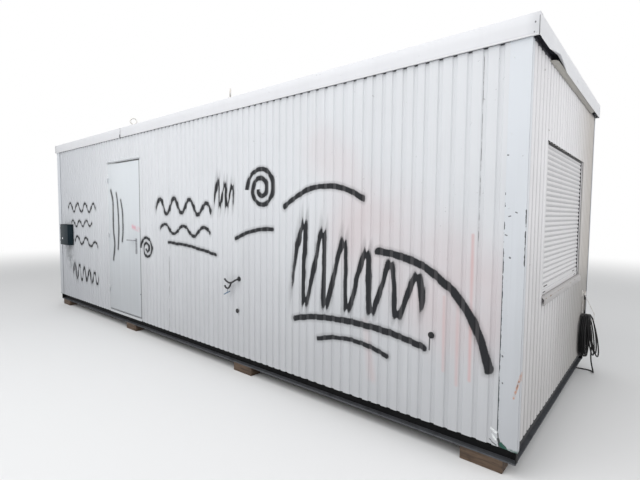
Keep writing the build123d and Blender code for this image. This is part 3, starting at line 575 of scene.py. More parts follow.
def timber(name, dark, light, stretch, roughness=0.75):
    skin = Surface(name, roughness)
    grain = skin.place.grain(1.0, 5.0, 0.6, stretch)
    skin.color = grain.spread(0.3, 0.7).mix(dark, light)
    skin.over(tuple(0.5 * part for part in dark), skin.place.grain(7.0, 2.0).spread(0.62, 0.72) * 0.5)
    return skin.done(grain, 0.002, 0.6)


# the packers' timber is painted dark to stand for the shade under the cabin
shadedPackerTimber = timber("shadedPackerTimber", (0.045, 0.028, 0.018), (0.13, 0.085, 0.055), (6.0, 60.0, 60.0))
floorBoard = timber("floorBoard", (0.16, 0.12, 0.09), (0.30, 0.24, 0.18), (3.0, 40.0, 40.0), 0.6)
roofBoard = timber("roofBoard", (0.012, 0.012, 0.022), (0.05, 0.05, 0.07), (3.0, 30.0, 30.0), 0.8)


def dullMetal(name, clean, stained, roughness, stain):
    skin = Surface(name, metallic=0.85)
    mask = skin.place.grain(25.0, 4.0, 0.65).spread(0.45, 0.7) * stain
    skin.color = mask.mix(clean, stained)
    skin.set("Roughness", mask * 0.4 + roughness)
    return skin.done(skin.place.grain(220.0, 2.0), 0.0004, 0.4)


dullSteel = dullMetal("dullSteel", (0.66, 0.65, 0.63), (0.34, 0.26, 0.20), 0.45, 0.6)
lockAlloy = dullMetal("lockAlloy", (0.36, 0.37, 0.39), (0.16, 0.16, 0.17), 0.38, 0.5)


def rubber(name, color, roughness, dust, wearAndShade=None):
    skin = Surface(name)
    powder = skin.place.grain(18.0, 4.0).spread(0.45, 0.75) * dust
    skin.color = powder.mix(color, (0.16, 0.155, 0.15))
    if wearAndShade:
        wearAndShade(skin)
    skin.set("Roughness", powder * 0.5 + roughness)
    skin.set("Specular IOR Level", 0.25)
    return skin.done(skin.place.grain(400.0, 2.0), 0.0002, 0.4)


def leadWear(skin):
    # the lead above the coil is bleached grey
    skin.over((0.27, 0.255, 0.235), skin.place.axis("Z").spread(0.595, 0.640, 0.0, 0.85))


strapBlue = rubber("strapBlue", (0.10, 0.17, 0.25), 0.5, 0.3)
cableRubber = rubber("cableRubber", (0.006, 0.006, 0.007), 0.55, 0.05, leadWear)
plugRubber = rubber("plugRubber", (0.018, 0.018, 0.02), 0.55, 0.4)

glass = Surface("clearGlass")
glass.set("Transmission Weight", 0.9)
glass.set("IOR", 1.45)
film = glass.place.grain(6.0, 4.0).spread(0.4, 0.8) * 0.3
glass.set("Base Color", film.mix((0.90, 0.95, 0.94), (0.55, 0.55, 0.52)))
glass.set("Roughness", film * 0.5 + 0.05)
print("materials built")


# Mesh helpers
def soften(piece, width):
    bevel = piece.modifiers.new("softEdges", "BEVEL")
    bevel.width = width
    bevel.segments = 2
    bevel.limit_method = "ANGLE"
    bevel.harden_normals = True


def finishPiece(bm, name, material, replaced=(), body="cabin", edge=0.0, sharp=35.0):
    bmesh.ops.recalc_face_normals(bm, faces=bm.faces)
    mesh = bpy.data.meshes.new(name)
    bm.to_mesh(mesh)
    bm.free()
    mesh.materials.append(material)
    mesh.shade_smooth()
    mesh.set_sharp_from_angle(angle=math.radians(sharp))
    piece = linked(name, mesh)
    if edge:
        soften(piece, edge)
    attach(piece, body)
    if replaced:
        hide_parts(*replaced)
    return piece


# A thin sheet between rows of points. Its skin is the outer side where outward is given.
def foldedSheet(name, rows, material, node, thickness, outward=None, keep=None, sharp=35.0):
    bm = bmesh.new()
    grid = [[bm.verts.new(point) for point in row] for row in rows]
    for column, (first, second) in enumerate(zip(grid, grid[1:])):
        for row in range(len(first) - 1):
            if keep is None or keep(column, row):
                bm.faces.new((first[row], second[row], second[row + 1], first[row + 1]))
    bmesh.ops.delete(bm, geom=[vert for vert in bm.verts if not vert.link_faces], context="VERTS")
    piece = finishPiece(bm, name, material, (node,), sharp=sharp)
    if outward:
        facing = sum((face.normal * face.area for face in piece.data.polygons), Vector())
        if facing.dot(outward) < 0:
            piece.data.flip_normals()
    shell = piece.modifiers.new("sheet", "SOLIDIFY")
    shell.thickness = thickness
    shell.offset = -1.0 if outward else 0.0
    return piece


def addPrism(bm, outline, push):
    low = [bm.verts.new(point) for point in outline]
    high = [bm.verts.new(Vector(point) + Vector(push)) for point in outline]
    faces = [bm.faces.new(low), bm.faces.new(list(reversed(high)))]
    for index, vert in enumerate(low):
        after = (index + 1) % len(low)
        faces.append(bm.faces.new((vert, high[index], high[after], low[after])))
    return faces


def addBlock(bm, corner, opposite, edge=0.0):
    low, high = [[pick(pair) for pair in zip(corner, opposite)] for pick in (min, max)]
    faces = addPrism(bm, [(low[0], low[1], low[2]), (high[0], low[1], low[2]), (high[0], high[1], low[2]),
                          (low[0], high[1], low[2])], (0, 0, high[2] - low[2]))
    if edge:
        edges = {side for face in faces for side in face.edges}
        bmesh.ops.bevel(bm, geom=list(edges), offset=edge, segments=2, profile=0.5, affect="EDGES")


def addTube(bm, points, radius, sides=12, closed=False):
    points = [Vector(point) for point in points]
    count = len(points)
    tangents = []
    for index in range(count):
        before = points[index - 1] if index or closed else points[0]
        after = points[(index + 1) % count] if closed or index < count - 1 else points[-1]
        tangents.append((after - before).normalized())
    side = tangents[0].orthogonal().normalized()
    rings = []
    for index, (point, tangent) in enumerate(zip(points, tangents)):
        side = (side - tangent * side.dot(tangent)).normalized()
        up = tangent.cross(side)
        size = radius[index] if isinstance(radius, (list, tuple)) else radius
        angles = [2 * math.pi * step / sides for step in range(sides)]
        rings.append([bm.verts.new(point + size * (math.cos(angle) * side + math.sin(angle) * up))
                      for angle in angles])
    pairs = list(zip(rings, rings[1:]))
    if closed:
        pairs.append((rings[-1], rings[0]))
    else:
        bm.faces.new(list(reversed(rings[0])))
        bm.faces.new(rings[-1])
    for first, second in pairs:
        for step in range(sides):
            after = (step + 1) % sides
            bm.faces.new((first[step], first[after], second[after], second[step]))


def addTurned(bm, centre, axis, profile, sides=24):
    axis = Vector(axis).normalized()
    addTube(bm, [Vector(centre) + axis * along for along, _ in profile], [size for _, size in profile], sides)


def addScrew(bm, place, axis, radius=0.0036, washer=0.0):
    base = Vector(place)
    if washer:
        addTurned(bm, base, axis, ((0.0, washer), (0.0012, washer), (0.0016, washer * 0.9)), 16)
        base += Vector(axis) * 0.0016
    addTurned(bm, base, axis,
              ((0.0, radius), (0.0015, radius), (0.0028, radius * 0.75), (0.0033, radius * 0.35)), 10)


def roundPath(points, reach, steps):
    points = [Vector(point) for point in points]
    path = [points[0]]
    for before, corner, after in zip(points, points[1:], points[2:]):
        start = corner + (before - corner).normalized() * min(reach, 0.45 * (before - corner).length)
        end = corner + (after - corner).normalized() * min(reach, 0.45 * (after - corner).length)
        for step in range(steps + 1):
            share = step / steps
            path.append(start.lerp(corner, share).lerp(corner.lerp(end, share), share))
    return [*path, points[-1]]


# Supply cable: its lead, its hung turns and its tail are one curve. Each hung turn starts at the top,
# goes down on the far side to its foot and comes up on the near side.
cable = {
    "radius": 0.006,
    "length": 15.92,
    "exit": (3.642, 0.935, 0.780),
    "lead": ((3.642, 0.935, 0.732), (3.641, 0.941, 0.690), (3.638, 0.960, 0.645), (3.634, 1.000, 0.600),
             (3.630, 1.054, 0.552), (3.630, 1.087, 0.487), (3.629, 1.093, 0.410)),
    "leadEnds": 0.3,  # the lead takes the place of this share of the first turn
    "middle": 0.915,
    "pointsPerTurn": 16,
    "firstSlot": 3.6345,
    "slotPitch": 0.0126,
    "layerTops": (0.5990, 0.5858, 0.5726),
    # each turn's foot as (x, z, half width)
    "feet": ((3.632, 0.199, 0.174), (3.650, 0.203, 0.170), (3.664, 0.196, 0.173), (3.678, 0.201, 0.169),
             (3.735, 0.222, 0.165), (3.772, 0.216, 0.171), (3.752, 0.240, 0.150), (3.6765, 0.218, 0.154),
             (3.6635, 0.224, 0.151), (3.6505, 0.216, 0.155), (3.6375, 0.221, 0.149), (3.640, 0.246, 0.133),
             (3.655, 0.252, 0.128), (3.672, 0.244, 0.132)),
    # the top that each turn rises to, as (layer, slot)
    "tops": ((0, 0), (0, 1), (0, 2), (0, 3), (0, 4), (1, 5), (1, 4), (1, 3), (1, 2), (1, 1), (2, 0), (2, 1),
             (2, 2), (2, 3)),
    "tail": ((3.675, 0.9785, 0.552), (3.683, 1.025, 0.494), (3.694, 1.044, 0.416), (3.703, 1.044, 0.345),
             (3.706, 1.027, 0.280), (3.704, 1.004, 0.215), (3.708, 0.991, 0.145), (3.720, 0.993, 0.078),
             (3.730, 1.016, 0.022), (3.728, 1.052, 0.0068), (3.712, 1.084, 0.0066), (3.680, 1.102, 0.0066),
             (3.640, 1.101, 0.0066), (3.603, 1.087, 0.0085), (3.572, 1.073, 0.014), (3.543, 1.065, 0.018)),
}


def turnTop(turn):
    layer, slot = cable["tops"][turn]
    return cable["firstSlot"] + slot * cable["slotPitch"], cable["layerTops"][layer]


def coilPoints():
    points = []
    count = cable["pointsPerTurn"]
    grow = 1 / math.cos(math.pi / count)
    for turn, (footX, footZ, halfWidth) in enumerate(cable["feet"]):
        for step in range(count):
            if turn == 0 and step / count < cable["leadEnds"]:
                continue
            angle = 2 * math.pi * step / count
            topX, topZ = turnTop(max(turn - 1, 0) if angle < math.pi else turn)
            x = topX + (footX - topX) * (1 - math.cos(angle)) / 2
            z = (topZ + footZ) / 2 + grow * (topZ - footZ) / 2 * math.cos(angle)
            y = cable["middle"] + grow * halfWidth * math.sin(angle)
            points.append((x if turn else min(x, footX), y, z))
    topX, topZ = turnTop(-1)
    return [*points, (topX, cable["middle"], topZ)]


cablePoints = [cable["exit"], *cable["lead"], *coilPoints(), *cable["tail"]]
cableCurve = bpy.data.curves.new("supply_cable", "CURVE")
cableCurve.dimensions = "3D"
cableCurve.bevel_depth = 1.0
cableCurve.bevel_resolution = 3
cableCurve.resolution_u = 4
cableCurve.materials.append(cableRubber)
spline = cableCurve.splines.new("NURBS")
spline.points.add(len(cablePoints) - 1)
for point, place in zip(spline.points, cablePoints):
    point.co = (*place, 1)
    point.radius = cable["radius"]
spline.order_u = 3
spline.use_endpoint_u = True
supplyCable = linked("supply_cable", cableCurve)
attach(supplyCable, "cabin")
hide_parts("cable_lead", "cable_coil", "cable_tail")
print("cable laid")

# Ribbed steel sheets: crests on the wall's face with narrow grooves pressed in, as the frame has them
ribs = {
    "floor": 0.020,
    "slope": 0.007,
    "depth": 0.010,
    "fold": 0.0013,
    "sheet": 0.0009,
    "sharp": 70.0,
    # the first groove's place, then runs of so many grooves at one pitch
    "front": (0.042, ((69, 0.0806), (6, 0.0897), (6, 0.0796), (5, 0.092))),
    "back": (0.042, ((87, 0.0806),)),
    "end": (0.049, ((28, 0.0847),)),
    "levels": 11,
    "levelGap": 0.03,
    "thinnest": 0.0007,
    "dents": 0.0018,
    "dentScale": (1.7, 1.1),
    "dentShare": 0.45,
    "grooveStiffness": 0.75,
    "wavyFoot": 0.0016,
    "footScale": 9.0,
    # an open seam in the front: its two edges, the right one's lip and lifted strip, and how far that
    # lifts, from which height down and over which length
    "seam": (3.480, 3.482),
    "seamLip": 0.012,
    "seamStrip": 0.03,
    "seamLift": 0.0022,
    "seamTop": 0.85,
    "seamTall": 0.7,
}


def groovePlaces(first, runs):
    places = [first]
    for count, pitch in runs:
        for _ in range(count):
            places.append(places[-1] + pitch)
    return places


def ribDepth(along, places):
    nearest = min(abs(along - middle) for middle in places)
    return ribs["depth"] * min(max((ribs["floor"] / 2 + ribs["slope"] - nearest) / ribs["slope"], 0.0), 1.0)


def rowLevels(low, extra):
    levels = [low + (sheetHead - low) * step / ribs["levels"] for step in range(ribs["levels"] + 1)]
    return sorted([level for level in levels
                   if all(abs(level - other) > ribs["levelGap"] for other in extra)] + list(extra))


def sheetColumns(places, start, end, fixed, extra):
    columns = {start, *fixed, *extra}
    for middle in places:
        for fold in (ribs["floor"] / 2, ribs["floor"] / 2 + ribs["slope"]):
            for offset in [side * fold + turn * ribs["fold"] for side in (-1, 1) for turn in (-1, 1)]:
                if start + 0.002 < middle + offset < end - 0.002:
                    columns.add(middle + offset)
    thinned = []
    for column in sorted(columns):
        if not thinned or column - thinned[-1] >= ribs["thinnest"]:
            thinned.append(column)
        elif column in fixed:
            thinned[-1] = column
    return thinned


def ribbedSheet(node, material, origin, along, inward, kind, start, end, low, hole=None, seam=None):
    places = groovePlaces(*ribs[kind])
    levels = rowLevels(low, [up for up in hole[2:] if up > low] if hole else [])
    fixed = {end, *(hole[:2] if hole else ()), *(seam or ())}
    columns = sheetColumns(places, start, end, fixed, [seam[1] + ribs["seamLip"]] if seam else [])
    dentAlong, dentUp = ribs["dentScale"]
    rows = []
    for column in columns:
        depth = ribDepth(column, places)
        row = []
        for level in levels:
            wave = noise.noise((column * dentAlong, level * dentUp, 3.0 * len(places))) + ribs["dentShare"]
            dent = ribs["dents"] * max(wave, 0.0) * (1 - ribs["grooveStiffness"] * depth / ribs["depth"])
            if seam and seam[1] <= column < seam[1] + ribs["seamStrip"] and level < ribs["seamTop"]:
                dent -= ribs["seamLift"] * (ribs["seamTop"] - level) / ribs["seamTall"]
            lift = 0.0
            if level == levels[0]:
                wave = noise.noise((column * ribs["footScale"], 1.0, 2.0)) + 0.5
                lift = max(ribs["wavyFoot"] * wave, 0.0)
            point = Vector(origin) + Vector(along) * column + Vector(inward) * (depth + dent)
            row.append((point.x, point.y, level + lift))
        rows.append(row)

    def keep(column, row):
        across = (columns[column] + columns[column + 1]) / 2
        up = (levels[row] + levels[row + 1]) / 2
        inSeam = seam and seam[0] < across < seam[1]
        return not (inSeam or hole and hole[0] < across < hole[1] and hole[2] < up < hole[3])

    piece = foldedSheet(node + "_sheet", rows, material, node, ribs["sheet"], -Vector(inward), keep,
                        ribs["sharp"])
    even = piece.modifiers.new("evenShade", "WEIGHTED_NORMAL")
    even.keep_sharp = True


frameLow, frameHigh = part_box("door_frame")
guideLow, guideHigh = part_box("shutter_guides")
# a hole in a sheet: from and to along it, then from and to in height
doorHole = (frameLow.x - leftEnd, frameHigh.x - leftEnd, sheetFoot - 1, frameHigh.z)
windowHole = (guideLow.y - frontFace, guideHigh.y - frontFace, guideLow.z, guideHigh.z)
long = rightEnd - leftEnd
endStart, endStop = endLow.y - frontFace, endHigh.y - frontFace
ribbedSheet("front_cladding", frontPaint, (leftEnd, frontFace, 0), (1, 0, 0), (0, 1, 0),
            "front", 0.0, long, sheetFoot, doorHole, ribs["seam"])
ribbedSheet("back_cladding", backPaint, (rightEnd, backFace, 0), (-1, 0, 0), (0, -1, 0),
            "back", 0.0, long, sheetFoot)
ribbedSheet("right_end_cladding", endPaint, (rightEnd, frontFace, 0), (0, 1, 0), (-1, 0, 0),
            "end", endStart, endStop, endLow.z, windowHole)
ribbedSheet("left_end_cladding", leftPaint, (leftEnd, backFace, 0), (0, -1, 0), (1, 0, 0),
            "end", endStart, endStop, endLow.z)
print("cladding sheets built")

# Corner covers: folded angles over the cladding's edges; the one nearest the camera is torn at its foot
covers = {
    "longFlange": 0.117,
    "endFlange": 0.040,
    "sheet": 0.0015,
    "edge": 0.0006,
    # the torn foot, as distance from the corner and height
    "torn": ((0.1170, 0.262), (0.1085, 0.250), (0.0960, 0.212), (0.0830, 0.196), (0.0640, 0.184),
             (0.0560, 0.172), (0.0500, 0.165)),
    "screwIn": 0.095,
    "screwUp": 0.16,
    "screwPitch": 0.42,
    "screwRadius": 0.0032,
}
coverLow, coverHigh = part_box("corner_covers")
bm = bmesh.new()
screws = bmesh.new()
for side in (-1, 1):
    for end in (-1, 1):
        tipX = end * coverHigh.x
        tipY = side * coverHigh.y
        foldY = tipY - side * covers["endFlange"]
        outline = [(0.0, coverLow.z), (0.0, coverHigh.z), (covers["longFlange"], coverHigh.z)]
        outline += covers["torn"] if side < 0 < end else [(covers["longFlange"], coverLow.z)]
        addPrism(bm, [(tipX - end * across, tipY, up) for across, up in outline],
                 (0, -side * covers["sheet"], 0))
        addPrism(bm, [(tipX, tipY, coverLow.z), (tipX, tipY, coverHigh.z), (tipX, foldY, coverHigh.z),
                      (tipX, foldY, coverLow.z)], (-end * covers["sheet"], 0, 0))
        height = coverLow.z + covers["screwUp"]
        while height < coverHigh.z:
            addScrew(screws, (tipX - end * covers["screwIn"], tipY, height), (0, side, 0),
                     covers["screwRadius"])
            height += covers["screwPitch"]
finishPiece(bm, "corner_cover_sheets", coverPaint, ("corner_covers",), edge=covers["edge"])
finishPiece(screws, "corner_cover_screws", trimPaint)
print("corner covers built")

# Fascia: a folded sheet all round the roof's edge, with a joint in the front and a bent lip on the right
fascia = {
    "sheet": 0.0016,
    "flange": 0.060,
    "lip": 0.015,
    "rightLip": 0.004,
    "leftLip": 0.012,
    "joint": -1.288,
    "jointGap": 0.003,
    # how far the lower edge stands out in waves
    "kick": {"front": 0.004, "back": 0.002, "right": 0.002, "left": 0.001},
    "lowPart": 0.060,
    "wave": 0.0012,
    "inset": 0.001,
    "step": 0.08,
    # the bent lip: from and to along y, the share at which it is widest, how far and how roundly it
    # bends, the lip's share of that, and how much the edge rises with it
    "bent": (-0.98, -0.47, 0.36),
    "bend": 0.022,
    "bendRound": 0.85,
    "bendLip": 0.35,
    "bendRise": 0.7,
    "bendStep": 0.02,
    "screwPitch": 0.60,
    "screwFrom": 0.25,
    "screwRow": 1.2285,
    "screwRadius": 0.0042,
    "washer": 0.007,
}
fasciaLow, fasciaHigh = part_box("fascia_front")
sideLow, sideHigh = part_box("fascia_right")


def fasciaStrip(which, start, outward, run, lip, bent=None, gap=None, butted=0.0):
    length = Vector(run).length
    along = Vector(run).normalized()
    outward = Vector(outward)
    tall = fasciaHigh.z - fasciaLow.z
    profile = [(-lip, 0.0004), (-0.0008, 0.0), (0.0, 0.0012), (0.0, 0.018), (0.0, fascia["lowPart"]),
               (0.0, tall - 0.0018), (-0.0018, tall), (-fascia["flange"], tall)]
    last = len(profile) - 1
    steps = max(int(length / fascia["bendStep" if bent else "step"]), 4)
    places = sorted({length * step / steps for step in range(steps + 1)} | set(gap or ())
                    | ({butted, length - butted} if butted else set()))
    rows = []
    for place in places:
        wave = fascia["wave"] * noise.noise((place * 1.3, 5.0, length))
        kick = fascia["kick"][which] * max(noise.noise((place * 0.8, 2.0, 9.0)) + 0.35, 0.0)
        share = 0.0
        if bent and bent[0] < place < bent[1]:
            share = (place - bent[0]) / (bent[1] - bent[0])
            share = min(share / bent[2], (1 - share) / (1 - bent[2])) ** fascia["bendRound"]
        row = []
        for index, (outBy, upBy) in enumerate(profile):
            low = max(0.0, 1 - upBy / fascia["lowPart"])
            push = low * kick + wave - fascia["inset"]
            push += fascia["bend"] * share * low * (1.0 if index else fascia["bendLip"])
            rise = fascia["bend"] * fascia["bendRise"] * share * low
            point = Vector(start) + along * place + outward * (outBy + (0.0 if index == last else push))
            row.append((point.x, point.y, fasciaLow.z + upBy + rise))
        rows.append(row)

    def keep(column, row):
        middle = (places[column] + places[column + 1]) / 2
        # at the corners the end strips leave the top flange and the lip to the long strips
        corner = not butted < middle < length - butted
        return not (gap and gap[0] < middle < gap[1] or corner and row in (0, last - 1))

    foldedSheet("fascia_" + which + "_sheet", rows, fasciaPaint, "fascia_" + which, fascia["sheet"],
                outward, keep, 55.0)


jointAt = fascia["joint"] - fasciaLow.x
bentFrom, bentTo, bentPeak = fascia["bent"]
fasciaStrip("front", fasciaLow, (0, -1, 0), (fasciaHigh.x - fasciaLow.x, 0, 0), fascia["lip"],
            gap=(jointAt, jointAt + fascia["jointGap"]))
fasciaStrip("back", (fasciaHigh.x, -fasciaLow.y, 0), (0, 1, 0), (fasciaLow.x - fasciaHigh.x, 0, 0),
            fascia["lip"])
fasciaStrip("right", (sideHigh.x, sideLow.y, 0), (1, 0, 0), (0, sideHigh.y - sideLow.y, 0),
            fascia["rightLip"], (bentFrom - sideLow.y, bentTo - sideLow.y, bentPeak), butted=fascia["flange"])
fasciaStrip("left", (-sideHigh.x, sideHigh.y, 0), (-1, 0, 0), (0, sideLow.y - sideHigh.y, 0),
            fascia["leftLip"], butted=fascia["flange"])
bm = bmesh.new()
place = fasciaLow.x + fascia["screwFrom"]
while place < fasciaHigh.x:
    for side in (-1, 1):
        addScrew(bm, (place, side * fascia["screwRow"], fasciaHigh.z - 0.0004), (0, 0, 1),
                 fascia["screwRadius"], fascia["washer"])
    place += fascia["screwPitch"]
finishPiece(bm, "fascia_screws", dullSteel)
print("fascia built")

# Soffit strips under the end overhangs; the right one is ragged at both ends and slants at its near one
soffit = {"sheet": 0.0012, "edgeWave": 0.010, "slant": 0.09, "buckle": 0.0012, "steps": 60,
          "fold": ((0.0115, 0.009), (0.023, 0.0022))}
for name, side in (("soffit_right", 1), ("soffit_left", -1)):
    low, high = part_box(name)
    inner, outer = (low.x, high.x) if side > 0 else (high.x, low.x)
    (foldIn, foldUp), (flatFrom, under) = soffit["fold"]
    lines = ((inner, low.z), (inner + side * foldIn, low.z + foldUp),
             (inner + side * flatFrom, high.z - under), (outer, high.z - under))
    rows = []
    for step in range(soffit["steps"] + 1):
        share = step / soffit["steps"]
        row = []
        for index, (x, z) in enumerate(lines):
            start = low.y + (soffit["slant"] * index / (len(lines) - 1) if side > 0 else 0.0)
            y = start + (high.y - start) * share
            if side > 0 and step in (0, soffit["steps"]):
                ragged = abs(soffit["edgeWave"] * noise.noise((index * 1.9, share * 7.0, 1.0)))
                y += -ragged if step else ragged
            row.append((x, y, z + soffit["buckle"] * noise.noise((share * 9.0, index, 4.0))))
        rows.append(row)
    foldedSheet(name + "_sheet", rows, soffitPaint, name, soffit["sheet"])
print("soffits built")

# Lifting eyes: forged rings with a collar, screwed down through the fascia
eyes = {
    "fromMiddle": 0.970,
    "row": 1.215,
    "ring": 0.036,
    "wire": 0.0075,
    "lift": 0.009,
    "collar": ((0.0, 0.021), (0.005, 0.0215), (0.0075, 0.019), (0.010, 0.012), (0.016, 0.0085)),
    # which end and side, and how many degrees the ring is turned
    "turns": {(-1, -1): 64, (1, -1): -38, (-1, 1): 15, (1, 1): 80},
}
bm = bmesh.new()
for (end, side), turn in eyes["turns"].items():
    foot = Vector((end * eyes["fromMiddle"], side * eyes["row"], fasciaHigh.z))
    middle = foot + Vector((0, 0, eyes["lift"] + eyes["ring"] + eyes["wire"] / 2))
    across = Vector((math.cos(math.radians(turn)), math.sin(math.radians(turn)), 0))
    angles = [2 * math.pi * step / 40 for step in range(40)]
    addTube(bm, [middle + eyes["ring"] * (math.cos(angle) * across + math.sin(angle) * Vector((0, 0, 1)))
                 for angle in angles], eyes["wire"], 14, closed=True)
    addTurned(bm, foot, (0, 0, 1), eyes["collar"], 28)
finishPiece(bm, "lifting_eye_rings", dullSteel, ("lifting_eyes",))
print("lifting eyes built")

# Door leaf with a raised inner skin and a stud, its frame with stop and drip strip, and the seals, with dark
# strips that stand in for the shade in the gap round the leaf
door = {
    "edge": 0.0025,
    "innerSkin": 0.045,
    "skinLift": 0.0012,
    "stud": (-0.830, 0.509, 0.007),  # x, z and radius
    "post": 0.022,
    "postFoot": 0.180,
    "stop": 0.014,
    "stopFoot": 0.200,
    "stopBehind": 0.005,
    "seal": 0.009,
    "sealFoot": 0.205,
    # the drip strip's outline, out from the frame and down from its top
    "drip": ((0.0, 0.0), (0.0012, 0.0), (0.014, 0.0088), (0.014, 0.010), (0.0, 0.0022)),
}
leafLow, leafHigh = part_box("door_leaf")


# left post, right post and head, so far in from the frame's outside
def addPortal(bm, inset, wide, nearY, farY, foot, edge):
    left, right, head = frameLow.x + inset, frameHigh.x - inset, frameHigh.z - inset
    addBlock(bm, (left, nearY, foot), (left + wide, farY, head), edge)
    addBlock(bm, (right - wide, nearY, foot), (right, farY, head), edge)
    addBlock(bm, (left + wide, nearY, head - wide), (right - wide, farY, head), edge)


bm = bmesh.new()
addBlock(bm, leafLow, leafHigh, door["edge"])
addBlock(bm, (leafLow.x + door["innerSkin"], leafHigh.y - 0.001, leafLow.z + door["innerSkin"]),
         (leafHigh.x - door["innerSkin"], leafHigh.y + door["skinLift"], leafHigh.z - door["innerSkin"]),
         0.0008)
finishPiece(bm, "door_leaf_skin", doorPaint, ("door_leaf",), body="door")
bm = bmesh.new()
studX, studZ, studRadius = door["stud"]
addTurned(bm, (studX, leafLow.y, studZ), (0, -1, 0),
          ((0.0, studRadius), (0.002, studRadius), (0.0026, studRadius * 0.8)), 18)
finishPiece(bm, "door_leaf_stud", plugRubber, body="door")

bm = bmesh.new()
stopY = leafHigh.y + door["stopBehind"]
addPortal(bm, 0.0, door["post"], leafLow.y, frameHigh.y, door["postFoot"], 0.0012)
addPortal(bm, door["post"], door["stop"], stopY, frameHigh.y, door["stopFoot"], 0.001)
addPrism(bm, [(frameLow.x, leafLow.y - out, frameHigh.z - down) for out, down in door["drip"]],
         (frameHigh.x - frameLow.x, 0, 0))
finishPiece(bm, "door_frame_posts", trimPaint, ("door_frame",))
bm = bmesh.new()
nearSeal = stopY - 0.003
left, right, head = frameLow.x + door["post"], frameHigh.x - door["post"], frameHigh.z - door["post"]
addPortal(bm, door["post"], door["seal"], nearSeal, stopY + 0.001, door["sealFoot"], 0.001)
# dark strips at the lock-side jamb and under the head stand in for the shade in the gap round the leaf
addBlock(bm, (right - 0.0028, frontFace, door["sealFoot"]), (right + 0.0006, nearSeal, head), 0.0006)
addBlock(bm, (left, frontFace, head - 0.0028), (right, nearSeal, head + 0.0006), 0.0006)
finishPiece(bm, "door_seals_and_gap_shade", plugRubber)
print("door leaf and frame built")

# Hinges: turned barrels on bent plates, half on the frame and half on the leaf
hinges = {"pin": (-1.7075, -1.241), "radius": 0.008, "plate": 0.003, "frameWide": 0.030,
          "leafWide": 0.0325, "height": 0.045, "leafLift": 0.0455, "feet": (0.450, 1.200, 1.950),
          "screws": (0.012, 0.033), "screwOut": 0.021, "round": 0.0012,
          "pinEnd": ((0.0, 0.004), (0.030, 0.004), (0.0315, 0.003))}
pinX, pinY = hinges["pin"]
tall, radius, chamfer = hinges["height"], hinges["radius"], hinges["round"]
barrel = ((0.0, radius - chamfer), (chamfer, radius), (tall - chamfer, radius), (tall, radius - chamfer))
for part, body, node, lift, side, wide in (
        ("hinge_frame_halves", "cabin", "door_hinges", 0.0, -1, hinges["frameWide"]),
        ("hinge_leaf_halves", "door", "door_leaf_hinges", hinges["leafLift"], 1, hinges["leafWide"])):
    screwX = pinX + side * hinges["screwOut"]
    bm = bmesh.new()
    for low in [foot + lift for foot in hinges["feet"]]:
        addTurned(bm, (pinX, pinY, low), (0, 0, 1), barrel, 24)
        if side < 0:
            addTurned(bm, (pinX, pinY, low + tall), (0, 0, 1), hinges["pinEnd"], 16)
        for reach, out in ((wide, hinges["plate"]), (radius, radius)):
            addBlock(bm, (pinX, leafLow.y - out, low), (pinX + side * reach, leafLow.y, low + tall), 0.0006)
        for up in hinges["screws"]:
            addScrew(bm, (screwX, leafLow.y - hinges["plate"], low + up), (0, -1, 0))
    finishPiece(bm, part, trimPaint, (node,), body=body)
print("hinges built")

# Lock plates with their cylinder on both faces of the leaf, and the lever
lock = {
    "x": -0.920, "spindleZ": 1.190, "cylinderZ": 1.118,
    "plate": 0.0055, "corner": 0.009, "screws": (0.012, -0.010),
    "rosette": ((0.0, 0.0135), (0.0006, 0.013)),
    "cylinder": ((0.0, 0.0085), (0.0007, 0.0082)),
    "keyway": (0.0010, 0.005),  # half its width and half its height
    "guard": (0.005, 0.024, 0.004, 0.0007),  # half width, foot and top below the cylinder, thickness
    "spindle": (0.063, 0.0058),  # half its length, and radius
    # the lever: how far it stands off, its root, reach, bend and radius, and its tip as length and radius
    "grip": 0.068, "root": 0.0415, "reach": 0.159, "bend": 0.018, "radius": 0.0072,
    "tip": ((0.0, 0.0066), (0.004, 0.0055), (0.0062, 0.0025)),
}
plateLow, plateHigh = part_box("lock_plates")
leafMiddle = (leafLow.y + leafHigh.y) / 2
bm = bmesh.new()
half = (plateHigh.x - plateLow.x) / 2 - lock["corner"]
for inner, facing in ((leafLow.y, -1), (leafHigh.y, 1)):
    outer = inner + facing * lock["plate"]
    outline = []
    for quarter, (signX, signZ) in enumerate(((1, 1), (-1, 1), (-1, -1), (1, -1))):
        middleX = lock["x"] + signX * half
        middleZ = (plateHigh.z - lock["corner"]) if signZ > 0 else (plateLow.z + lock["corner"])
        for step in range(5):
            angle = math.pi / 2 * (quarter + step / 4)
            outline.append((middleX + lock["corner"] * math.cos(angle), outer,
                            middleZ + lock["corner"] * math.sin(angle)))
    addPrism(bm, outline, (0, inner - outer, 0))
    for height in (plateLow.z + lock["screws"][0], plateHigh.z + lock["screws"][1]):
        addScrew(bm, (lock["x"], outer, height), (0, facing, 0))
    addTurned(bm, (lock["x"], outer, lock["spindleZ"]), (0, facing, 0), lock["rosette"], 28)
    addTurned(bm, (lock["x"], outer, lock["cylinderZ"]), (0, facing, 0), lock["cylinder"], 24)
    wide, foot, top, thick = lock["guard"]
    addBlock(bm, (lock["x"] - wide, outer, lock["cylinderZ"] - foot),
             (lock["x"] + wide, outer + facing * thick, lock["cylinderZ"] - top), 0.0002)
finishPiece(bm, "lock_plate_pair", lockAlloy, ("lock_plates",), body="door", edge=0.0007)
bm = bmesh.new()
keyWide, keyTall = lock["keyway"]
keyFace = leafLow.y - lock["plate"]
addBlock(bm, (lock["x"] - keyWide, keyFace - 0.0010, lock["cylinderZ"] - keyTall),
         (lock["x"] + keyWide, keyFace - 0.0005, lock["cylinderZ"] + keyTall))
finishPiece(bm, "lock_keyway", plugRubber, body="door")
bm = bmesh.new()
reach, thick = lock["spindle"]
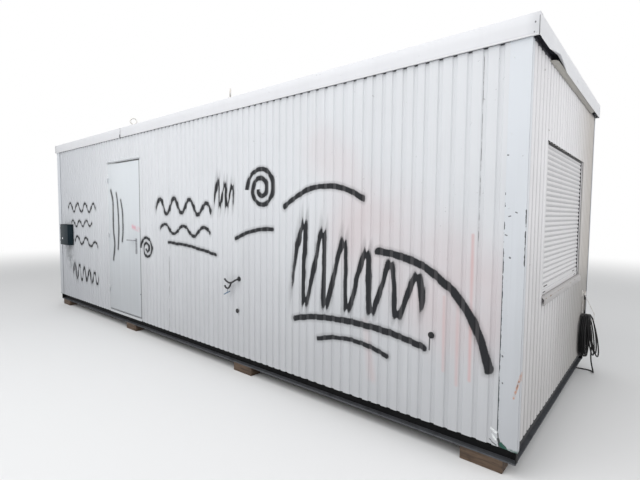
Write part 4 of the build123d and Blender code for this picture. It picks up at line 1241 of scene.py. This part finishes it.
addTurned(bm, (lock["x"], leafMiddle - reach, lock["spindleZ"]), (0, 1, 0),
          ((0.0, thick), (2 * reach, thick)), 20)
for facing in (-1, 1):
    gripY = leafMiddle + facing * lock["grip"]
    *path, tip = roundPath(((lock["x"], gripY - facing * lock["root"], lock["spindleZ"]),
                            (lock["x"], gripY, lock["spindleZ"]),
                            (lock["x"] - lock["reach"], gripY, lock["spindleZ"])), lock["bend"], 7)
    sizes = [lock["radius"]] * len(path) + [size for _, size in lock["tip"]]
    addTube(bm, path + [tip - Vector((out, 0, 0)) for out, _ in lock["tip"]], sizes, 18)
finishPiece(bm, "lever_pair", lockAlloy, ("door_lever",), body="lever")
print("lock and lever built")

# Roller shutter: hollow slats with a hinge groove between them, a bottom bar, guides, and a dark brush strip
# in the head slot that also stands in for the slot's shade.
# At the far jamb the slat ends stand clear of the guide and leave a toothed gap, with a dark strip behind it
# as painted shade.
shutter = {
    "slats": 27,
    "bar": 0.072,
    "slotHeight": 0.017,
    "nearGap": 0.002,
    "endGap": 0.0016,
    "guide": 0.042,
    # how far behind the curtain's face a point of the bottom bar lies, and its height
    "barProfile": ((0.008, 0.0), (0.001, 0.0), (0.0, 0.001), (0.0, 0.034), (0.0026, 0.036), (0.0026, 0.038),
                   (0.0004, 0.040), (0.0004, 0.068), (0.0074, 0.0715)),
    # share of a slat's height and how far it lies behind the curtain's face
    "slat": ((0.03, 0.0078), (0.06, 0.0070), (0.20, 0.0034), (0.36, 0.0010), (0.50, 0.0), (0.64, 0.0007),
             (0.80, 0.0026), (0.93, 0.0058), (0.97, 0.0076)),
    # dark slots in the bottom bar: along it, up from its foot, and length
    "brushes": ((0.05, 0.052, 0.10), (0.03, 0.014, 0.07), (1.122, 0.050, 0.11), (1.192, 0.013, 0.07)),
}
curtainLow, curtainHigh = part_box("roller_shutter")
curtainFoot = curtainLow.z + shutter["bar"]
curtainStop = curtainHigh.y - shutter["endGap"]
curtainFace = curtainHigh.x
slatPitch = (curtainHigh.z - curtainFoot) / shutter["slats"]


def slatShade(skin):
    # painted shade under each slat's belly and in the joints
    up = skin.place.axis("Z") - curtainFoot
    share = (up / slatPitch).calc("FRACT")
    skin.over((0.34, 0.34, 0.36), share.spread(0.52, 0.34) * up.spread(-0.003, 0.003) * 0.42)
    skin.over((0.22, 0.22, 0.23), share.calc("PINGPONG", 0.5).spread(0.10, 0.02) * 0.35)


slatPlastic = paintedSheet("slatPlastic", shutterLook, wearAndShade=slatShade)
profile = [*shutter["barProfile"],
           *[(depth, shutter["bar"] + (slat + share) * slatPitch)
             for slat in range(shutter["slats"]) for share, depth in shutter["slat"]],
           (0.008, curtainHigh.z - curtainLow.z)]
bm = bmesh.new()
nearY = curtainLow.y + shutter["nearGap"]
addPrism(bm, [(curtainFace - depth, nearY, curtainLow.z + up) for depth, up in profile],
         (0, curtainStop - nearY, 0))
finishPiece(bm, "shutter_curtain", slatPlastic, ("roller_shutter",), sharp=25.0)
bm = bmesh.new()
for low, high in ((guideLow.y, guideLow.y + shutter["guide"]), (guideHigh.y - shutter["guide"], guideHigh.y)):
    addBlock(bm, (guideLow.x, low, guideLow.z), (guideHigh.x, high, guideHigh.z), 0.0012)
    addBlock(bm, (guideHigh.x - 0.0005, (low + high) / 2 - 0.004, guideLow.z + 0.004),
             (guideHigh.x + 0.0008, (low + high) / 2 + 0.004, guideHigh.z - 0.004), 0.0006)
finishPiece(bm, "shutter_guide_rails", shutterPlastic, ("shutter_guides",))
bm = bmesh.new()
# a dark brush strip in the head slot, and a dark strip in the far jamb's gap as painted shade
addBlock(bm, (curtainLow.x, curtainLow.y, curtainHigh.z - shutter["slotHeight"]),
         (curtainFace + 0.0006, curtainHigh.y, curtainHigh.z), 0.0004)
addBlock(bm, (curtainLow.x - 0.0005, curtainStop + 0.0002, curtainLow.z),
         (curtainFace + 0.0034, curtainHigh.y + 0.0002, curtainHigh.z), 0.0004)
for along, up, length in shutter["brushes"]:
    addBlock(bm, (curtainFace - 0.003, curtainLow.y + along, curtainLow.z + up),
             (curtainFace + 0.0006, curtainLow.y + along + length, curtainLow.z + up + 0.007), 0.0004)
finishPiece(bm, "shutter_brush_and_shade_strips", plugRubber)
print("shutter built")

# Sill: a folded sheet under the window
sill = {"sheet": 0.0018, "sag": 0.0014, "steps": 30, "sagFrom": 2}
sillLow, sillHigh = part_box("window_sill")
lines = ((sillLow.x - 0.014, sillHigh.z + 0.0002), (sillLow.x, sillHigh.z - 0.0002),
         (sillHigh.x - 0.0015, sillHigh.z - 0.0112), (sillHigh.x - 0.0002, sillHigh.z - 0.0135),
         (sillHigh.x, sillLow.z + 0.0012), (sillHigh.x - 0.0012, sillLow.z), (sillHigh.x - 0.006, sillLow.z))
rows = []
for step in range(sill["steps"] + 1):
    y = sillLow.y + (sillHigh.y - sillLow.y) * step / sill["steps"]
    row = []
    for index, (x, z) in enumerate(lines):
        sag = 0.0
        if index > sill["sagFrom"]:
            sag = sill["sag"] * noise.noise((y * 2.1, index * 0.3, 6.0))
        row.append((x - max(sag, 0.0), y, z + sag))
    rows.append(row)
foldedSheet("window_sill_sheet", rows, sillPaint, "window_sill", sill["sheet"], sharp=50.0)
print("sill built")

# Electric box: a deep-drawn body with a lid, rain lip, turn lock and a bare spot
box = {
    "edge": 0.006, "lidEdge": 0.0032, "rim": 0.006, "reveal": 0.006, "caseBack": 0.012, "lidBack": 0.004,
    # the hinge barrels: radius and length, in from the left and out of the lid, up from the foot and top
    "barrel": (0.0045, 0.03), "barrelPlace": (0.004, 0.0035), "barrels": (0.055, -0.075),
    "lock": ((0.0, 0.010), (0.002, 0.0095), (0.0026, 0.006)), "lockIn": 0.03,
    "spot": (0.095, 0.105), "spotProfile": ((0.0, 0.015), (0.0020, 0.0144)),
}
boxLow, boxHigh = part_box("electric_box")
bodyLeft = boxLow.x + box["reveal"]
bodyRight = boxHigh.x - box["reveal"]
bodyTop = boxHigh.z - box["reveal"]
boxSeat = frontFace + 0.0005
caseFace = boxLow.y + box["caseBack"]
lidFace = boxLow.y + box["lidBack"]
bm = bmesh.new()
addBlock(bm, (bodyLeft, caseFace, boxLow.z), (bodyRight, boxSeat, bodyTop), box["edge"])
rim = box["rim"]
addBlock(bm, (bodyLeft + rim, lidFace, boxLow.z + rim), (bodyRight - rim, caseFace - 0.0005, bodyTop - rim),
         box["lidEdge"])
addBlock(bm, (boxLow.x, boxLow.y, bodyTop), (boxHigh.x, boxSeat, boxHigh.z), 0.0018)
thick, length = box["barrel"]
barrelIn, barrelOut = box["barrelPlace"]
for height in (boxLow.z + box["barrels"][0], bodyTop + box["barrels"][1]):
    addTurned(bm, (bodyLeft + barrelIn, lidFace + barrelOut, height), (0, 0, 1),
              ((0.0, thick), (length, thick)), 16)
addTurned(bm, (bodyRight - box["lockIn"], lidFace, (boxLow.z + bodyTop) / 2), (0, -1, 0), box["lock"], 20)
finishPiece(bm, "electric_box_case", boxPaint, ("electric_box",))
bm = bmesh.new()
spotIn, spotUp = box["spot"]
addTurned(bm, (bodyLeft + spotIn, lidFace, boxLow.z + spotUp), (0, -1, 0), box["spotProfile"], 20)
finishPiece(bm, "electric_box_spot", fasciaPaint)
print("electric box built")

# Cable hook: a round flange, an arm that sags to one side, a leg curled under it, and the two round plugs.
# Bends are counted from the flange along x and in height.
hook = {
    "corner": -2.510, "height": 0.750, "stand": 0.045, "rod": 0.0088, "bend": 0.026,
    "flange": ((0.0, 0.0240), (0.0045, 0.0240), (0.0062, 0.0225), (0.0066, 0.013), (0.010, 0.0105)),
    "screws": (0.6, 2.7, 4.8), "screwRing": 0.0165, "screwRadius": 0.0028,
    # the bends of arm, leg and strap; the tie's knots also have a radius
    "arm": ((0, -0.005), (-0.044, -0.031), (-0.092, -0.044), (-0.138, -0.031), (-0.165, -0.010)),
    "leg": ((-0.064, -0.036), (-0.087, -0.080), (-0.118, -0.101), (-0.152, -0.092), (-0.162, -0.074)),
    "strap": ((-0.118, -0.098), (-0.122, -0.125), (-0.130, -0.142)),
    "tie": ((0.046, 0.020, 0.0045), (0.015, 0.006, 0.0055), (0, 0, 0.0058), (-0.046, -0.022, 0.0048)),
}
plugs = {
    "places": ((-2.540, 0.437), (-0.547, 0.590)),  # from the window end and up from the sheet's foot
    "profile": ((0.0, 0.0220), (0.002, 0.0218), (0.0048, 0.0195), (0.0060, 0.0165), (0.0063, 0.006),
                (0.0054, 0.003)),
}
hookX = rightEnd + hook["corner"]
hookZ = sheetFoot + hook["height"]


def hookPath(steps, start=()):
    bends = [(hookX + along, frontFace - hook["stand"], hookZ + up) for along, up in steps]
    return roundPath([*start, *bends], hook["bend"], 7)


bm = bmesh.new()
addTurned(bm, (hookX, frontFace + 0.0005, hookZ), (0, -1, 0), hook["flange"], 28)
for steps, start in ((hook["arm"], [(hookX, frontFace - 0.004, hookZ)]), (hook["leg"], [])):
    rodPath = hookPath(steps, start)
    rodPath += [rodPath[-1] + (rodPath[-1] - rodPath[-2]).normalized() * 0.003]
    addTube(bm, rodPath, [hook["rod"]] * (len(rodPath) - 1) + [hook["rod"] * 0.6], 14)
for angle in hook["screws"]:
    addScrew(bm, (hookX + hook["screwRing"] * math.cos(angle), frontFace - 0.0060,
                  hookZ + hook["screwRing"] * math.sin(angle)), (0, -1, 0), hook["screwRadius"])
finishPiece(bm, "cable_hook_rod", blackRod, ("wall_hook",))
bm = bmesh.new()
strapPath = hookPath(hook["strap"])
addTube(bm, strapPath, 0.0022, 8)
addTube(bm, [strapPath[-1] + Vector((along, 0, up)) for along, up, _ in hook["tie"]],
        [size for _, _, size in hook["tie"]], 10)
finishPiece(bm, "hook_strap_end", strapBlue)
bm = bmesh.new()
for fromCorner, height in plugs["places"]:
    addTurned(bm, (rightEnd + fromCorner, frontFace + 0.0005, sheetFoot + height), (0, -1, 0),
              plugs["profile"], 28)
finishPiece(bm, "wall_plug_pair", plugRubber, ("wall_plugs",))
print("hook and plugs built")

# Cable bracket: plate, gland and the wire hanger that carries the coil; then the cable's sleeve and plug
bracket = {
    "wire": 0.0026, "bend": 0.012, "plate": (0.885, 0.945), "plateHeights": (0.772, 0.828),
    "screwRow": 0.895, "screws": (0.780, 0.820),
    "gland": ((0.0, 0.0105), (0.010, 0.0108), (0.0105, 0.0098), (0.012, 0.0098), (0.0125, 0.0108),
              (0.030, 0.0108), (0.036, 0.0095), (0.0395, 0.0078)),
    # the hanger's bends, out from the sheet and in height
    "hanger": ((0.001, 0.802), (0.0070, 0.794), (0.0072, 0.556), (0.1065, 0.553), (0.1065, 0.612),
               (0.014, 0.806), (0.001, 0.8085)),
    # up from the cable's exit, and radius
    "sleeve": ((0.002, 0.0092), (-0.010, 0.0088), (-0.03, 0.0072), (-0.042, 0.0065)),
}
plug = {
    "body": ((0.0, 0.0085), (0.006, 0.0092), (0.008, 0.0082), (0.012, 0.0096), (0.014, 0.0086),
             (0.018, 0.0102), (0.024, 0.0125), (0.034, 0.0150), (0.044, 0.0160), (0.046, 0.0178),
             (0.064, 0.0178), (0.0665, 0.0165), (0.068, 0.0165)),
    "ridges": 8, "ridgeRing": 0.0152, "ridgeAt": 0.038, "ridgeHalf": 0.006,
    "pin": ((0.0, 0.0024), (0.0205, 0.0024), (0.0225, 0.0014)), "pinAt": 0.067, "pinsApart": 0.0095,
}
exitPoint = Vector(cable["exit"])
bm = bmesh.new()
addBlock(bm, (rightEnd - 0.0005, bracket["plate"][0], bracket["plateHeights"][0]),
         (rightEnd + 0.003, bracket["plate"][1], bracket["plateHeights"][1]), 0.0008)
addTurned(bm, exitPoint + Vector((0, 0, 0.040)), (0, 0, -1), bracket["gland"], 6)
addBlock(bm, (rightEnd + 0.002, exitPoint.y - 0.009, exitPoint.z + 0.016),
         (exitPoint.x - 0.004, exitPoint.y + 0.009, exitPoint.z + 0.034), 0.0015)
for height in bracket["screws"]:
    addScrew(bm, (rightEnd + 0.003, bracket["screwRow"], height), (1, 0, 0))
hanger = [(rightEnd + out, cable["middle"], up) for out, up in bracket["hanger"]]
addTube(bm, roundPath(hanger, bracket["bend"], 6), bracket["wire"], 10)
finishPiece(bm, "cable_hanger", dullSteel, ("cable_bracket",))
bm = bmesh.new()
addTube(bm, [exitPoint + Vector((0, 0, up)) for up, _ in bracket["sleeve"]],
        [size for _, size in bracket["sleeve"]], 18)
cableSleeve = finishPiece(bm, "cable_sleeve", plugRubber)
plugLow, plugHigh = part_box("cable_plug")
plugY, plugZ = (plugLow.y + plugHigh.y) / 2, (plugLow.z + plugHigh.z) / 2
bm = bmesh.new()
addTurned(bm, (plugHigh.x, plugY, plugZ), (-1, 0, 0), plug["body"], 28)
for ridge in range(plug["ridges"]):
    angle = 2 * math.pi * ridge / plug["ridges"]
    ridgeY = plugY + plug["ridgeRing"] * math.cos(angle)
    ridgeZ = plugZ + plug["ridgeRing"] * math.sin(angle)
    ends = [plugHigh.x - plug["ridgeAt"] + end * plug["ridgeHalf"] for end in (1, -1)]
    addTube(bm, [(x, ridgeY, ridgeZ) for x in ends], 0.0012, 8)
plugBody = finishPiece(bm, "cable_plug_body", plugRubber, ("cable_plug",))
bm = bmesh.new()
for side in (-1, 1):
    addTurned(bm, (plugHigh.x - plug["pinAt"], plugY + side * plug["pinsApart"], plugZ), (-1, 0, 0),
              plug["pin"], 14)
plugPins = finishPiece(bm, "cable_plug_pins", dullSteel)
print("bracket and plug built")

# Timber packers: rough sawn blocks, each a little different
packers = {"rough": 0.0016, "length": 0.260, "width": 0.120, "count": 4, "edge": 0.004}
bm = bmesh.new()
packLow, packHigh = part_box("support_packers")
packStep = (packHigh.x - packLow.x - packers["length"]) / (packers["count"] - 1)
packInner = packHigh.y - packers["width"]
for side in (-1, 1):
    for index in range(packers["count"]):
        left = packLow.x + index * packStep
        addBlock(bm, (left, side * packHigh.y, 0.0), (left + packers["length"], side * packInner, packHigh.z),
                 packers["edge"])
bmesh.ops.subdivide_edges(bm, edges=[edge for edge in bm.edges if edge.calc_length() > 0.03], cuts=5,
                          use_grid_fill=True)
for vert in bm.verts:
    if packers["edge"] < vert.co.z < packHigh.z - packers["edge"]:
        shift = abs(noise.noise(vert.co * 22.0) * packers["rough"])
        middle = math.copysign(packHigh.y - packers["width"] / 2, vert.co.y)
        vert.co.y -= math.copysign(shift, vert.co.y - middle)
finishPiece(bm, "packer_blocks", shadedPackerTimber, ("support_packers",))
print("packers built")

# Plates that close the open ends of the long channels
plates = {"thick": 0.003, "edge": 0.0008, "sunk": 0.0005}
channelLow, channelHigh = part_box("chassis_channel_front")
sunk = plates["sunk"]
plateX = channelHigh.x - sunk
bm = bmesh.new()
for end in (-1, 1):
    for side in (-1, 1):
        addBlock(bm, (end * plateX, -side * (channelLow.y + sunk), channelLow.z + sunk),
                 (end * (plateX + plates["thick"]), -side * channelHigh.y, channelHigh.z - sunk),
                 plates["edge"])
finishPiece(bm, "chassis_end_plates", channelPaint)
print("channel ends closed")

# The frame's own solids that stay: a material, the softened edge, and the nodes
kept = (
    (channelPaint, 0.002, ("chassis_channel_front", "chassis_channel_back", "chassis_channel_right",
                           "chassis_channel_left", "floor_joists")),
    (chassisPaint, 0.0006, ("end_wall_rails",)),
    (floorBoard, 0.001, ("floor_panel",)),
    (roofBoard, 0.001, ("roof_panel",)),
    (roofMetal, 0.0, ("roof_sheet",)),
    (liningBoard, 0.0005, ("front_wall_left_of_door", "front_wall_right_of_door", "front_wall_over_door",
                           "back_wall", "left_end_wall", "right_end_wall_front_side",
                           "right_end_wall_back_side", "right_end_wall_below_window",
                           "right_end_wall_over_window")),
    (trimPaint, 0.0006, ("door_threshold",)),
    (shutterPlastic, 0.0012, ("window_frame",)),
    (glass.material, 0.0, ("window_glass",)),
)
for material, edge, names in kept:
    for node in [nodes[name] for name in names]:
        node.data.materials.clear()
        node.data.materials.append(material)
        weld = node.modifiers.new("joined", "WELD")
        weld.merge_threshold = 0.00001
        flatten = node.modifiers.new("planes", "DECIMATE")
        flatten.decimate_type = "DISSOLVE"
        flatten.angle_limit = math.radians(1)
        if edge:
            soften(node, edge)
print("frame solids dressed")

# Floor, daylight and the lamps, each lamp as name, power, place, aim and size
studio = {
    "floorSize": 60.0, "floorColor": (0.80, 0.80, 0.80, 1), "fadeFrom": 7.0, "fadeTo": 16.0,
    "skyColor": (0.97, 0.985, 1.0, 1), "worldLight": 0.57,
    "lamps": (("overhead", 350.0, (0.9, -5.2, 6.6), (0.3, -0.5, 1.2), 8.0),
              ("sideFill", 180.0, (9.5, -1.0, 5.5), (3.6, 0.2, 1.2), 6.0)),
}
white = (1, 1, 1, 1)


# what the camera, a mirror or glass looks at sees the plain white backdrop
def whiteWhereSeen(tree, kind, lit, output, fade=1.0):
    ray = put(tree, "LightPath", output="Is Camera Ray")
    seen = ray.most(ray.also("Is Glossy Ray").most(ray.also("Is Transmission Ray")))
    mixed = put(tree, "MixShader", (seen * fade, lit, put(tree, kind, {"Color": white, "Strength": 1.0})))
    feed(tree, tree.nodes[output].inputs[0], mixed)


floor = Surface("paleFloor", 0.75)
floor.set("Base Color", studio["floorColor"])
whiteWhereSeen(floor.tree, "Emission", Value(floor.tree, floor.tree.nodes["Principled BSDF"].outputs[0]),
               "Material Output", floor.place.vector("LENGTH").spread(studio["fadeFrom"], studio["fadeTo"]))
bm = bmesh.new()
bmesh.ops.create_circle(bm, cap_ends=True, segments=96, radius=studio["floorSize"])
floorMesh = bpy.data.meshes.new("studio_floor")
bm.to_mesh(floorMesh)
bm.free()
floorMesh.materials.append(floor.material)
linked("studio_floor", floorMesh)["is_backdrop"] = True

scene.world = bpy.data.worlds.new("softDay")
scene.world.use_nodes = True
sky = scene.world.node_tree
whiteWhereSeen(sky, "Background", put(sky, "Background", {"Color": studio["skyColor"],
                                                          "Strength": studio["worldLight"]}), "World Output")
for name, power, spot, aim, size in studio["lamps"]:
    lampData = bpy.data.lights.new(name, "AREA")
    lampData.shape = "SQUARE"
    lampData.size = size
    lampData.energy = power
    lamp = linked(name, lampData)
    lamp.location = spot
    lamp.rotation_euler = (Vector(spot) - Vector(aim)).to_track_quat("Z", "Y").to_euler()
scene.view_settings.view_transform = "Standard"
print("floor and light set")

sizes = {"cad": [list(corner) for corner in cadBox], "visual": [list(corner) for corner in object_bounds()]}
